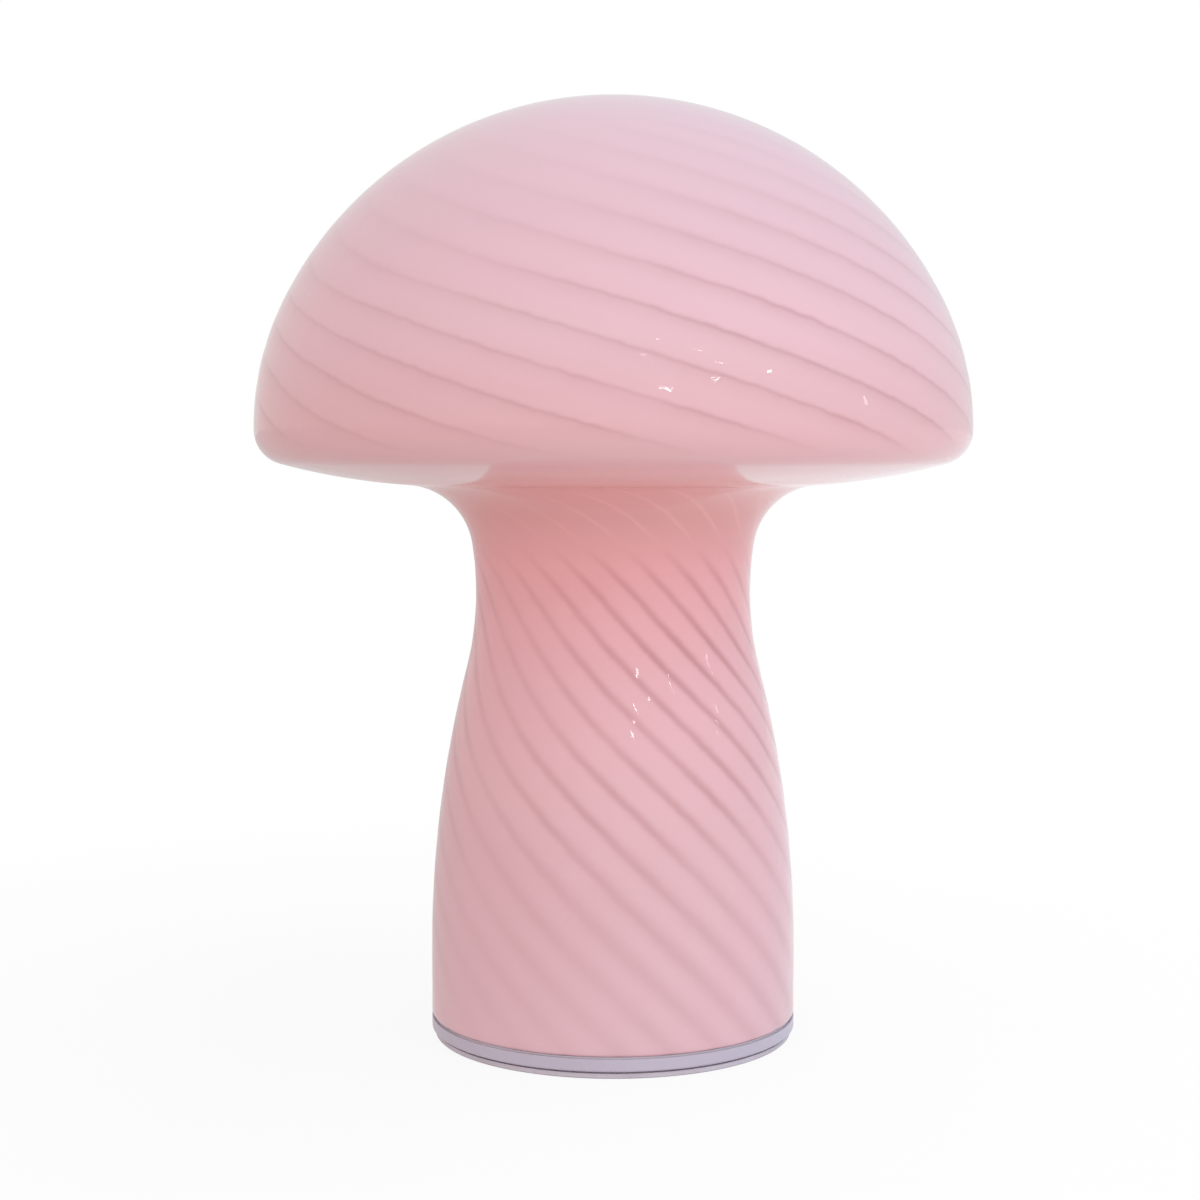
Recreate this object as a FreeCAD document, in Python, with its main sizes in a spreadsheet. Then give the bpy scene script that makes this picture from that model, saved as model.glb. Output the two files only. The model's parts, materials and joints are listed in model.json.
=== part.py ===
import FreeCAD, Part
import math
import os
import re
import Sketcher

# Mushroom table lamp: one blown glass body, open at the foot, stands over a moulded base that
# carries a lampholder and a small globe bulb. Millimetres, +Z up. The origin is the middle of the
# face that the lamp stands on, and the cord's inlet is at the back, towards +Y.

# name, value, what it measures; angles are in degrees
sizes = [
    ("foot_radius", 45.1, "outside of the glass foot and of the base's band"),
    ("foot_straight", 15.6, "height of the straight wall above the glass rim"),
    ("waist_radius", 33.85, "outside of the stem where it is narrowest"),
    ("waist_drop", 39.4, "narrowest point of the stem, below the cap's widest ring"),
    ("waist_curve", 77.0, "curve of the stem through its waist"),
    ("throat_drop", 30.2, "centre of the throat's curve, below the cap's widest ring"),
    ("throat_curve", 17.0, "curve from the stem out to the underside of the cap"),
    ("under_curve", 160.0, "bulge of the underside of the cap"),
    ("cap_radius", 87.4, "outside of the cap at its widest ring"),
    ("rim_curve", 8.4, "rounding of the cap's rim"),
    ("ring_height", 149.5, "height of the cap's widest ring"),
    ("cap_rise", 80.5, "height of the cap above its widest ring"),
    ("shoulder_curve", 69.0, "curve of the cap's shoulder"),
    ("glass_wall", 3.5, "thickness of the blown glass"),
    ("rim_round", 0.9, "fire-polished edge of the open foot"),
    ("pad_height", 1.25, "non-slip ring that the lamp stands on"),
    ("pad_inset", 0.9, "non-slip ring, inside the band"),
    ("pad_width", 14.0, "width of the non-slip ring"),
    ("pad_edge", 0.3, "chamfer round the non-slip ring"),
    ("gap_height", 0.55, "shadow gap between the non-slip ring and the band"),
    ("gap_depth", 1.9, "depth of the shadow gap"),
    ("band_height", 3.0, "visible band of the base"),
    ("band_round", 0.5, "edge rounding of the band"),
    ("band_lip", 0.45, "thin lip of the band outside the seal"),
    ("seal_height", 0.8, "silicone ring under the glass"),
    ("seal_width", 2.4, "width of the silicone ring"),
    ("seal_groove", 0.4, "depth of the seat that holds the silicone ring"),
    ("fit_gap", 0.15, "clearance between fixed pieces"),
    ("cut_past", 1.0, "length that a through cut runs past its piece"),
    ("spigot_gap", 0.8, "clearance between the base's spigot and the glass"),
    ("spigot_wall", 2.2, "wall of the base's spigot"),
    ("spigot_edge", 1.2, "chamfer round the deck"),
    ("deck_height", 14.0, "height of the deck that carries the lampholder"),
    ("deck_wall", 2.5, "thickness of the deck"),
    ("ring_width", 1.6, "width of the locating ring round the lampholder"),
    ("ring_rise", 1.2, "height of the locating ring"),
    ("plate_wall", 1.5, "thickness of the bottom plate inside its edge"),
    ("plate_seat", 2.7, "step that the bottom plate seats on, outside the spigot's wall"),
    ("boss_circle", 24.0, "radius of the circle that the screw bosses stand on"),
    ("boss_turn", 30.0, "azimuth of the first screw boss"),
    ("boss_radius", 3.6, "outside of a screw boss"),
    ("rib_wall", 1.6, "thickness of a rib"),
    ("rib_drop", 5.0, "depth of a rib below the deck"),
    ("rib_root", 0.5, "length of a rib's ends inside its boss and the spigot"),
    ("cover_screw_radius", 1.4, "shank of a bottom plate screw"),
    ("cover_screw_head", 2.8, "head of a bottom plate screw"),
    ("cover_screw_length", 7.5, "shank length of a bottom plate screw"),
    ("screw_sink", 1.25, "depth that a screw head sits in the bottom plate"),
    ("screw_count", 3, "screws, bosses and ribs"),
    ("inlet_width", 7.0, "cord grommet, across"),
    ("inlet_height", 3.4, "cord grommet, high"),
    ("inlet_wall", 0.5, "wall of the cord grommet"),
    ("inlet_lift", 0.3, "cord grommet above the surface"),
    ("inlet_proud", 0.5, "cord grommet, proud of the band"),
    ("inlet_flange", 1.2, "thickness of the grommet's inner flange"),
    ("inlet_flange_width", 9.4, "width of the grommet's inner flange"),
    ("inlet_flange_height", 5.3, "height of the grommet's inner flange"),
    ("nipple_radius", 5.0, "outside of the threaded nipple"),
    ("nipple_bore", 3.6, "bore of the threaded nipple"),
    ("nipple_height", 16.0, "length of the threaded nipple"),
    ("nipple_below", 7.2, "length of the nipple below the deck's top"),
    ("nipple_edge", 0.4, "chamfer at the nipple's ends"),
    ("thread_gap", 0.05, "clearance between the nipple and what screws on it"),
    ("nut_flats", 14.0, "nut across its flats"),
    ("nut_height", 3.0, "height of the nut"),
    ("washer_radius", 8.6, "outside of the toothed washer"),
    ("washer_wall", 0.8, "thickness of the toothed washer"),
    ("washer_teeth", 10, "notches in the toothed washer"),
    ("washer_notch", 0.95, "radius of a notch in the toothed washer"),
    ("holder_radius", 13.5, "outside of the lampholder"),
    ("holder_wall", 1.6, "wall of the lampholder's mouldings"),
    ("holder_foot", 9.0, "lower end of the lampholder's cap"),
    ("holder_step", 2.5, "straight foot of the lampholder's cap"),
    ("holder_edge", 0.8, "chamfer round the shoulder of the lampholder's cap"),
    ("holder_cap_height", 19.0, "height of the lampholder's cap"),
    ("holder_height", 50.0, "height of the whole lampholder"),
    ("holder_mouth", 9.8, "opening that the bulb goes into"),
    ("mouth_taper", 6.0, "height of the taper at the lampholder's mouth"),
    ("mouth_draw", 0.8, "taper at the lampholder's mouth, inwards"),
    ("mouth_edge", 0.5, "chamfer round the lampholder's mouth"),
    ("socket_overlap", 5.0, "length of the skirt inside the cap"),
    ("cap_boss", 7.5, "threaded length in the lampholder's cap"),
    ("core_lift", 20.0, "underside of the insulating core above the deck"),
    ("core_height", 8.0, "height of the insulating core"),
    ("core_gap", 0.3, "clearance between the core and the skirt"),
    ("shell_bore", 7.0, "inside of the brass screw shell"),
    ("shell_wall", 0.4, "thickness of the brass screw shell"),
    ("shell_height", 19.5, "height of the brass screw shell"),
    ("shell_flange", 7.9, "flange of the brass screw shell"),
    ("contact_width", 5.0, "width of the centre contact"),
    ("contact_wall", 0.4, "thickness of the contact strips"),
    ("contact_rise", 3.5, "rise of the centre contact's tongue"),
    ("contact_lean", 50.0, "slope of the centre contact's tongue"),
    ("contact_bend", 0.8, "bend of the centre contact"),
    ("contact_start", 6.2, "outer end of the centre contact"),
    ("contact_foot", 2.6, "flat foot of the centre contact"),
    ("contact_top", 2.2, "flat top of the centre contact"),
    ("strap_width", 3.2, "width of the shell contact"),
    ("strap_place", 8.6, "middle of the shell contact, from the axis"),
    ("rivet_radius", 0.9, "shank of the contact rivet"),
    ("rivet_head", 1.3, "head of the contact rivet"),
    ("rivet_head_height", 0.6, "height of the contact rivet's head"),
    ("block_length", 4.5, "terminal block, across the axis"),
    ("block_width", 6.0, "terminal block, along the terminal row"),
    ("block_height", 5.0, "terminal block, high"),
    ("block_place", 6.0, "middle of a terminal block, from the axis"),
    ("wire_hole", 1.3, "hole for a core in a terminal block"),
    ("wire_place", 1.5, "hole for a core, from the middle of its block"),
    ("terminal_screw_place", 1.2, "terminal screw, from the middle of its block"),
    ("terminal_screw_radius", 1.2, "shank of a terminal screw"),
    ("terminal_screw_head", 1.9, "head of a terminal screw"),
    ("terminal_screw_length", 3.4, "length of a terminal screw's shank"),
    ("terminal_head_height", 0.6, "height of a terminal screw's head"),
    ("tip_gap", 0.2, "gap between the centre contact and the bulb"),
    ("bulb_radius", 22.5, "outside of the globe"),
    ("bulb_length", 78.0, "bulb from its tip to its top"),
    ("bulb_glass_wall", 0.8, "thickness of the bulb's glass"),
    ("bulb_neck", 7.85, "outside of the bulb's glass neck"),
    ("bulb_neck_curve", 16.0, "curve from the globe to its neck"),
    ("bulb_neck_straight", 2.5, "straight length of the glass neck"),
    ("cap_shell_radius", 6.9, "outside of the bulb's screw cap"),
    ("cap_shell_wall", 0.35, "thickness of the bulb's screw cap"),
    ("cap_lift", 4.2, "lower end of the bulb's screw cap above its tip"),
    ("cap_thread", 14.5, "length of the bulb's screw thread"),
    ("cap_flare", 1.5, "height of the flare above the thread"),
    ("cap_skirt_radius", 8.5, "outside of the screw cap's skirt"),
    ("cap_height", 25.0, "top of the screw cap above the tip"),
    ("cap_lip", 4.9, "hole at the lower end of the screw cap"),
    ("tip_radius", 2.6, "solder contact of the bulb"),
    ("tip_height", 1.3, "height of the solder contact"),
    ("board_width", 9.6, "width of the driver board"),
    ("board_height", 13.0, "height of the driver board"),
    ("board_wall", 1.0, "thickness of the driver board"),
    ("capacitor_radius", 2.4, "outside of the capacitor on the driver board"),
    ("capacitor_height", 6.5, "height of the capacitor"),
    ("capacitor_lift", 3.2, "capacitor above the driver board's lower edge"),
    ("mount_radius", 2.0, "glass mount inside the bulb"),
    ("mount_gap", 0.3, "clearance between the glass mount and the bulb's neck"),
    ("mount_height", 22.0, "height of the glass mount"),
    ("filament_radius", 0.9, "radius of a filament"),
    ("filament_length", 27.0, "length of a filament"),
    ("filament_low_ring", 9.5, "radius of the ring of the filaments' lower ends"),
    ("filament_top_ring", 4.5, "radius of the ring of the filaments' upper ends"),
    ("filament_count", 4, "filaments"),
    ("lead_radius", 0.3, "radius of a lead wire"),
    ("lead_gap", 0.1, "clearance at the ends of a lead wire"),
    ("spoke_lift", 0.2, "spoke above a leaning filament's end"),
    ("clip_width", 8.0, "width of a spring clip"),
    ("clip_wall", 0.6, "thickness of a spring clip"),
    ("clip_tang", 4.6, "length of the clip's tang"),
    ("clip_lean", 20.0, "outward slope of the clip's arm"),
    ("clip_arm", 8.4, "length of the clip's sloping arm"),
    ("clip_bend", 2.0, "bend at the clip's tang"),
    ("clip_bulge", 3.0, "rounding of the clip where it bears on the glass"),
    ("clip_tip", 5.6, "length of the clip's lead-in tip"),
    ("clip_return", 24.0, "inward slope of the clip's tip"),
    ("clip_gap", 0.45, "clearance between a relaxed clip and the glass"),
    ("clip_floor", 0.2, "clearance under the clip's tang"),
    ("clip_play", 0.25, "clearance on each side of the clip's tang"),
    ("clip_count", 3, "spring clips"),
    ("clip_turn", 90.0, "azimuth of the first spring clip, at the back"),
    ("tower_wall", 1.9, "wall of a clip's socket"),
    ("tower_rise", 3.0, "clip socket above the deck"),
    ("tower_depth", 5.0, "depth of a clip's socket"),
    ("tower_floor", 1.4, "floor under a clip's socket"),
]

# places that more than one piece uses, each worked out from sizes and from places above it
places = {
    "band_bottom": "pad_height + gap_height",
    "band_top": "band_bottom + band_height",
    "shelf": "band_top - seal_groove",
    "glass_bottom": "shelf + seal_height",
    "plate_top": "band_bottom + plate_wall",
    "spigot_radius": "foot_radius - glass_wall - spigot_gap",
    "spigot_inside": "spigot_radius - spigot_wall",
    "plate_radius": "spigot_inside + plate_seat",
    "boss_across": "boss_circle * cos(boss_turn)",
    "boss_along": "boss_circle * sin(boss_turn)",
    "deck_bottom": "deck_height - deck_wall",
    "core_bottom": "deck_height + core_lift",
    "core_top": "core_bottom + core_height",
    "rivet_place": "contact_foot / 2 - contact_start",
    "tip_bottom": "core_top + contact_wall + contact_rise + tip_gap",
    "board_bottom": "tip_bottom + cap_lift + 4 * cap_shell_wall",
    "mount_flare": "bulb_neck - bulb_glass_wall - mount_gap",
    "mount_bottom": "tip_bottom + cap_height - bulb_neck_straight",
    "mount_top": "mount_bottom + mount_height",
    "globe_middle": "tip_bottom + bulb_length - bulb_radius",
    "inlet_top": "inlet_lift + inlet_height",
    # the grommet's flat flange bears on the spigot's curved wall at its two ends
    "flange_face": "sqrt(spigot_inside ^ 2 - inlet_flange_width ^ 2 / 4) - fit_gap / 2",
    "flange_back": "flange_face - inlet_flange",
    # a clip's tang stands so far in that its bulge just clears the glass
    "clip_half": "clip_wall / 2",
    "clip_reach": "clip_arm * sin(clip_lean) + (clip_bend + clip_bulge) * (1 - cos(clip_lean)) + clip_half",
    "clip_root": "sqrt((foot_radius - glass_wall - clip_gap) ^ 2 - clip_width ^ 2 / 4) - clip_reach",
}

document = FreeCAD.newDocument("MushroomLamp")
sheet = document.addObject("Spreadsheet::Sheet", "Sizes")
for row, (alias, number, meaning) in enumerate(sizes, 1):
    sheet.set(f"A{row}", meaning)
    sheet.set(f"B{row}", str(number))
    sheet.setAlias(f"B{row}", alias)
document.recompute()


def bound(expression):
    """The expression with every place opened up and every size named in the sheet."""
    for name, meaning in reversed(places.items()):
        expression = re.sub(rf"\b{name}\b", f"({meaning})", expression)
    return re.sub(r"\b[a-z]+(_[a-z]+)+\b", r"Sizes.\g<0>", expression)


def size(expression):
    return float(sheet.evalExpression(bound(expression).replace("Sizes.", "")))


def origin_part(body, role):
    return next(item for item in body.Origin.OriginFeatures if item.Role == role)


def make_body(label):
    body = document.addObject("PartDesign::Body", label)
    body.Label = label
    return body


def make_sketch(body, plane, lift="0"):
    sketch = body.newObject("Sketcher::SketchObject", "Sketch")
    sketch.AttachmentSupport = [(origin_part(body, plane), "")]
    sketch.MapMode = "FlatFace"
    if lift != "0":
        sketch.setExpression("AttachmentOffset.Base.z", bound(lift))
    return sketch


def point(x, y):
    return FreeCAD.Vector(x, y, 0)


def pin_point(sketch, geometry, end, across, up):
    """Hold one point of a sketch at the two expressions; zero puts it on the axis itself."""
    for kind, axis, expression in (("DistanceX", -2, across), ("DistanceY", -1, up)):
        if expression == "0":
            sketch.addConstraint(Sketcher.Constraint("PointOnObject", geometry, end, axis))
            continue
        number = sketch.addConstraint(Sketcher.Constraint(kind, -1, 1, geometry, end, size(expression)))
        sketch.setExpression(f"Constraints[{number}]", bound(expression))


def measure(sketch, kind, geometry, expression):
    """Bind the radius, length or sweep of one edge of a sketch."""
    number = size(expression)
    if kind == "Angle":
        number = math.radians(number)
    index = sketch.addConstraint(Sketcher.Constraint(kind, geometry, number))
    sketch.setExpression(f"Constraints[{index}]", bound(expression))


def polygon(sketch, corners):
    """A closed outline through corners given as pairs of expressions."""
    places_now = [point(size(across), size(up)) for across, up in corners]
    count = len(corners)
    edges = []
    for index in range(count):
        line = Part.LineSegment(places_now[index], places_now[(index + 1) % count])
        edges.append(sketch.addGeometry(line, False))
    for index in range(count):
        following = edges[(index + 1) % count]
        sketch.addConstraint(Sketcher.Constraint("Coincident", edges[index], 2, following, 1))
    for edge, (across, up) in zip(edges, corners):
        pin_point(sketch, edge, 1, across, up)


def circle(sketch, radius, across="0", up="0"):
    centre = point(size(across), size(up))
    ring = sketch.addGeometry(Part.Circle(centre, FreeCAD.Vector(0, 0, 1), size(radius)), False)
    pin_point(sketch, ring, 3, across, up)
    measure(sketch, "Radius", ring, radius)


def block_outline(sketch, length, width, across="0", up="0"):
    """A rectangle of a length and width about a middle point."""
    left, right = f"{across} - ({length}) / 2", f"{across} + ({length}) / 2"
    low, high = f"{up} - ({width}) / 2", f"{up} + ({width}) / 2"
    polygon(sketch, [(left, low), (right, low), (right, high), (left, high)])


def cut_back(sketch, width, near, far):
    """A rectangle of a width that runs back along +Y from near to far."""
    block_outline(sketch, width, f"{far} - ({near})", "0", f"({near} + {far}) / 2")


def oblong(sketch, width, height, up):
    """An upright slot shape, wider than it is high, with half-round ends."""
    radius = f"({height}) / 2"
    reach = f"({width} - ({height})) / 2"
    right = sketch.addGeometry(
        Part.ArcOfCircle(
            Part.Circle(point(size(reach), size(up)), FreeCAD.Vector(0, 0, 1), size(radius)),
            -math.pi / 2, math.pi / 2), False)
    left = sketch.addGeometry(
        Part.ArcOfCircle(
            Part.Circle(point(-size(reach), size(up)), FreeCAD.Vector(0, 0, 1), size(radius)),
            math.pi / 2, 3 * math.pi / 2), False)
    high, low = size(f"{up} + {radius}"), size(f"{up} - {radius}")
    top = sketch.addGeometry(Part.LineSegment(point(size(reach), high), point(-size(reach), high)), False)
    base = sketch.addGeometry(Part.LineSegment(point(-size(reach), low), point(size(reach), low)), False)
    for first, first_end, second, second_end in ((right, 2, top, 1), (top, 2, left, 1),
                                                 (left, 2, base, 1), (base, 2, right, 1)):
        sketch.addConstraint(Sketcher.Constraint("Tangent", first, first_end, second, second_end))
    sketch.addConstraint(Sketcher.Constraint("Horizontal", top))
    pin_point(sketch, right, 3, reach, up)
    pin_point(sketch, left, 3, f"0 - {reach}", up)
    measure(sketch, "Radius", right, radius)


def revolve(body, sketch):
    feature = body.newObject("PartDesign::Revolution", "Turned")
    feature.Profile = sketch
    feature.ReferenceAxis = (sketch, ["V_Axis"])
    feature.Angle = 360
    document.recompute()


def turned(label, corners):
    """A piece of revolution about Z, from its half section."""
    body = make_body(label)
    sketch = make_sketch(body, "XZ_Plane")
    polygon(sketch, corners)
    revolve(body, sketch)
    return body


def pad(body, sketch, length):
    feature = body.newObject("PartDesign::Pad", "Pad")
    feature.Profile = sketch
    feature.setExpression("Length", bound(length))
    document.recompute()
    return feature


def pocket(body, sketch, length, upwards=False):
    """Cut a sketch out of the body, and make sure that the cut took something away."""
    before = body.Shape.Volume
    feature = body.newObject("PartDesign::Pocket", "Pocket")
    feature.Profile = sketch
    feature.setExpression("Length", bound(length))
    feature.Reversed = upwards
    document.recompute()
    if not body.Shape.Volume < before - 0.01:
        raise RuntimeError(f"a cut in {body.Label} took nothing away")
    return feature


def repeat_round(body, features, count):
    """Repeat features evenly round the Z axis."""
    pattern = body.newObject("PartDesign::PolarPattern", "Round")
    pattern.Originals = features
    pattern.Axis = (origin_part(body, "Z_Axis"), [""])
    pattern.Angle = 360
    pattern.setExpression("Occurrences", bound(count))
    body.Tip = pattern
    document.recompute()


def ring_edges(body, rings):
    """Names of the round edges of a body at the radii and heights given as expressions."""
    wanted = [(size(radius), size(height)) for radius, height in rings]
    names = []
    for number, edge in enumerate(body.Shape.Edges, 1):
        if edge.Degenerated:
            continue
        curve = edge.Curve
        if not isinstance(curve, Part.Circle) or math.hypot(curve.Center.x, curve.Center.y) > 0.01:
            continue
        for radius, height in wanted:
            if abs(curve.Radius - radius) < 0.01 and abs(curve.Center.z - height) < 0.01:
                names.append(f"Edge{number}")
    if not names:
        raise RuntimeError(f"no edge to round on {body.Label}")
    return names


def fillet(body, rings, radius):
    names = ring_edges(body, rings)
    base = body.Tip
    feature = body.newObject("PartDesign::Fillet", "Fillet")
    feature.Base = (base, names)
    feature.setExpression("Radius", bound(radius))
    document.recompute()


def chamfer(body, rings, width):
    names = ring_edges(body, rings)
    base = body.Tip
    feature = body.newObject("PartDesign::Chamfer", "Chamfer")
    feature.Base = (base, names)
    feature.setExpression("Size", bound(width))
    document.recompute()


def chain_arc(centre, radius, start, end):
    """An arc that is run from start to end, either way round, and the names of its two ends."""
    ends = (1, 2) if end > start else (2, 1)
    circle_line = Part.Circle(point(*centre), FreeCAD.Vector(0, 0, 1), radius)
    return Part.ArcOfCircle(circle_line, min(start, end), max(start, end)), ends


def add_chain(sketch, pieces):
    """Add lines and arcs that run on smoothly from one to the next."""
    edges = [(sketch.addGeometry(shape, False), ends) for shape, ends in pieces]
    for (first, first_ends), (second, second_ends) in zip(edges, edges[1:]):
        sketch.addConstraint(Sketcher.Constraint("Tangent", first, first_ends[1], second, second_ends[0]))
    return [edge for edge, ends in edges]


def close_chain(sketch, outer, outer_ends, inner, inner_ends):
    """Join an outer and an inner edge by a straight line between two of their ends."""
    first = sketch.getPoint(outer, outer_ends)
    second = sketch.getPoint(inner, inner_ends)
    line = sketch.addGeometry(Part.LineSegment(point(first.x, first.y), point(second.x, second.y)), False)
    sketch.addConstraint(Sketcher.Constraint("Coincident", line, 1, outer, outer_ends))
    sketch.addConstraint(Sketcher.Constraint("Coincident", line, 2, inner, inner_ends))


def direction(start, end):
    return math.atan2(end[1] - start[1], end[0] - start[0])


def glass_outline(wall):
    """The glass section's straight foot and seven arcs, set in by a wall thickness."""
    foot, straight_top = size("foot_radius"), size("glass_bottom + foot_straight")
    ring, top = size("ring_height"), size("ring_height + cap_rise")
    waist_curve, throat_curve = size("waist_curve"), size("throat_curve")
    under_curve, rim_curve, shoulder_curve = size("under_curve"), size("rim_curve"), size("shoulder_curve")
    waist = (size("waist_radius") + waist_curve, ring - size("waist_drop"))
    # belly: leaves the foot upright and meets the waist's curve
    inward, upward = foot - size("waist_radius"), waist[1] - straight_top
    belly_curve = (inward ** 2 + upward ** 2) / (2 * inward) - waist_curve
    belly = (foot - belly_curve, straight_top)
    # throat: its curve lies inside the waist's, at a height of its own
    throat_up = ring - size("throat_drop") - waist[1]
    throat_in = math.sqrt((waist_curve - throat_curve) ** 2 - throat_up ** 2)
    throat = (waist[0] - throat_in, waist[1] + throat_up)
    rim = (size("cap_radius") - rim_curve, ring)
    # underside: bulges downwards between the throat and the rim
    near, far = throat_curve + under_curve, under_curve - rim_curve
    span = math.dist(throat, rim)
    along = (near ** 2 - far ** 2 + span ** 2) / (2 * span)
    aside = math.sqrt(near ** 2 - along ** 2)
    unit = ((rim[0] - throat[0]) / span, (rim[1] - throat[1]) / span)
    under = (throat[0] + unit[0] * along - unit[1] * aside, throat[1] + unit[1] * along + unit[0] * aside)
    # dome: a shoulder and a flatter crown
    shoulder = (size("cap_radius") - shoulder_curve, ring)
    rise = top - ring
    crown_curve = (shoulder[0] ** 2 + rise ** 2 - shoulder_curve ** 2) / (2 * (rise - shoulder_curve))
    crown = (0, top - crown_curve)

    belly_end = direction(belly, waist)
    waist_end = direction(waist, throat) if waist_curve > throat_curve else math.pi
    throat_end = direction(throat, under)
    under_end = direction(under, rim)
    shoulder_end = direction(crown, shoulder)
    bottom = size("glass_bottom")
    straight = Part.LineSegment(point(foot - wall, bottom), point(foot - wall, straight_top))
    pieces = [
        (straight, (1, 2)),
        chain_arc(belly, belly_curve - wall, 0, belly_end),
        chain_arc(waist, waist_curve + wall, math.pi + belly_end, waist_end),
        chain_arc(throat, throat_curve + wall, waist_end, throat_end),
        chain_arc(under, under_curve - wall, throat_end - math.pi, under_end),
        chain_arc(rim, rim_curve - wall, under_end, 0),
        chain_arc(shoulder, shoulder_curve - wall, 0, shoulder_end),
        chain_arc(crown, crown_curve - wall, shoulder_end, math.pi / 2),
    ]
    return pieces


def glass_body():
    """The blown glass: stem, neck and cap in one piece of even wall, open at the foot."""
    body = make_body("glass_body")
    sketch = make_sketch(body, "XZ_Plane")
    line, belly, waist, throat, under, rim, shoulder, crown = add_chain(sketch, glass_outline(0))
    sketch.addConstraint(Sketcher.Constraint("Vertical", line))
    pin_point(sketch, line, 1, "foot_radius", "glass_bottom")
    straight_top = sketch.addConstraint(
        Sketcher.Constraint("DistanceY", -1, 1, line, 2, size("glass_bottom + foot_straight")))
    sketch.setExpression(f"Constraints[{straight_top}]", bound("glass_bottom + foot_straight"))
    pin_point(sketch, waist, 3, "waist_radius + waist_curve", "ring_height - waist_drop")
    measure(sketch, "Radius", waist, "waist_curve")
    throat_height = sketch.addConstraint(
        Sketcher.Constraint("DistanceY", -1, 1, throat, 3, size("ring_height - throat_drop")))
    sketch.setExpression(f"Constraints[{throat_height}]", bound("ring_height - throat_drop"))
    measure(sketch, "Radius", throat, "throat_curve")
    measure(sketch, "Radius", under, "under_curve")
    pin_point(sketch, rim, 3, "cap_radius - rim_curve", "ring_height")
    measure(sketch, "Radius", rim, "rim_curve")
    shoulder_height = sketch.addConstraint(
        Sketcher.Constraint("DistanceY", -1, 1, shoulder, 3, size("ring_height")))
    sketch.setExpression(f"Constraints[{shoulder_height}]", bound("ring_height"))
    measure(sketch, "Radius", shoulder, "shoulder_curve")
    sketch.addConstraint(Sketcher.Constraint("PointOnObject", crown, 3, -2))
    pin_point(sketch, crown, 2, "0", "ring_height + cap_rise")

    inner = add_chain(sketch, glass_outline(size("glass_wall")))
    for outside, inside in zip((belly, waist, throat, under, rim, shoulder, crown), inner[1:]):
        sketch.addConstraint(Sketcher.Constraint("Coincident", outside, 3, inside, 3))
    sketch.addConstraint(Sketcher.Constraint("Vertical", inner[0]))
    pin_point(sketch, inner[0], 1, "foot_radius - glass_wall", "glass_bottom")
    sketch.addConstraint(Sketcher.Constraint("PointOnObject", inner[-1], 2, -2))
    close_chain(sketch, line, 1, inner[0], 1)
    close_chain(sketch, crown, 2, inner[-1], 2)
    revolve(body, sketch)
    fillet(body, [("foot_radius", "glass_bottom")], "rim_round")
    chamfer(body, [("foot_radius - glass_wall", "glass_bottom")], "rim_round / 2")
    return body


def bulb_glass():
    """The bulb's globe: a thin sphere that runs down into a narrow neck."""
    body = make_body("bulb_glass")
    sketch = make_sketch(body, "XZ_Plane")
    neck_curve = size("bulb_neck_curve")
    joint = (size("bulb_neck") + neck_curve, 0)
    drop = math.sqrt((size("bulb_radius") + neck_curve) ** 2 - joint[0] ** 2)
    globe = (0, size("globe_middle"))
    joint = (joint[0], globe[1] - drop)
    swing = direction(joint, globe)

    def outline(wall):
        radius = size("bulb_neck") - wall
        straight = Part.LineSegment(point(radius, size("mount_bottom")), point(radius, joint[1]))
        return [(straight, (1, 2)),
                chain_arc(joint, neck_curve + wall, math.pi, swing),
                chain_arc(globe, size("bulb_radius") - wall, swing - math.pi, math.pi / 2)]

    line, neck, ball = add_chain(sketch, outline(0))
    sketch.addConstraint(Sketcher.Constraint("Vertical", line))
    pin_point(sketch, line, 1, "bulb_neck", "mount_bottom")
    measure(sketch, "Radius", neck, "bulb_neck_curve")
    pin_point(sketch, ball, 3, "0", "globe_middle")
    measure(sketch, "Radius", ball, "bulb_radius")
    sketch.addConstraint(Sketcher.Constraint("PointOnObject", ball, 2, -2))
    inner = add_chain(sketch, outline(size("bulb_glass_wall")))
    for outside, inside in zip((neck, ball), inner[1:]):
        sketch.addConstraint(Sketcher.Constraint("Coincident", outside, 3, inside, 3))
    sketch.addConstraint(Sketcher.Constraint("Vertical", inner[0]))
    pin_point(sketch, inner[0], 1, "bulb_neck - bulb_glass_wall", "mount_bottom")
    sketch.addConstraint(Sketcher.Constraint("PointOnObject", inner[-1], 2, -2))
    close_chain(sketch, line, 1, inner[0], 1)
    close_chain(sketch, ball, 2, inner[-1], 2)
    revolve(body, sketch)
    return body


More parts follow.
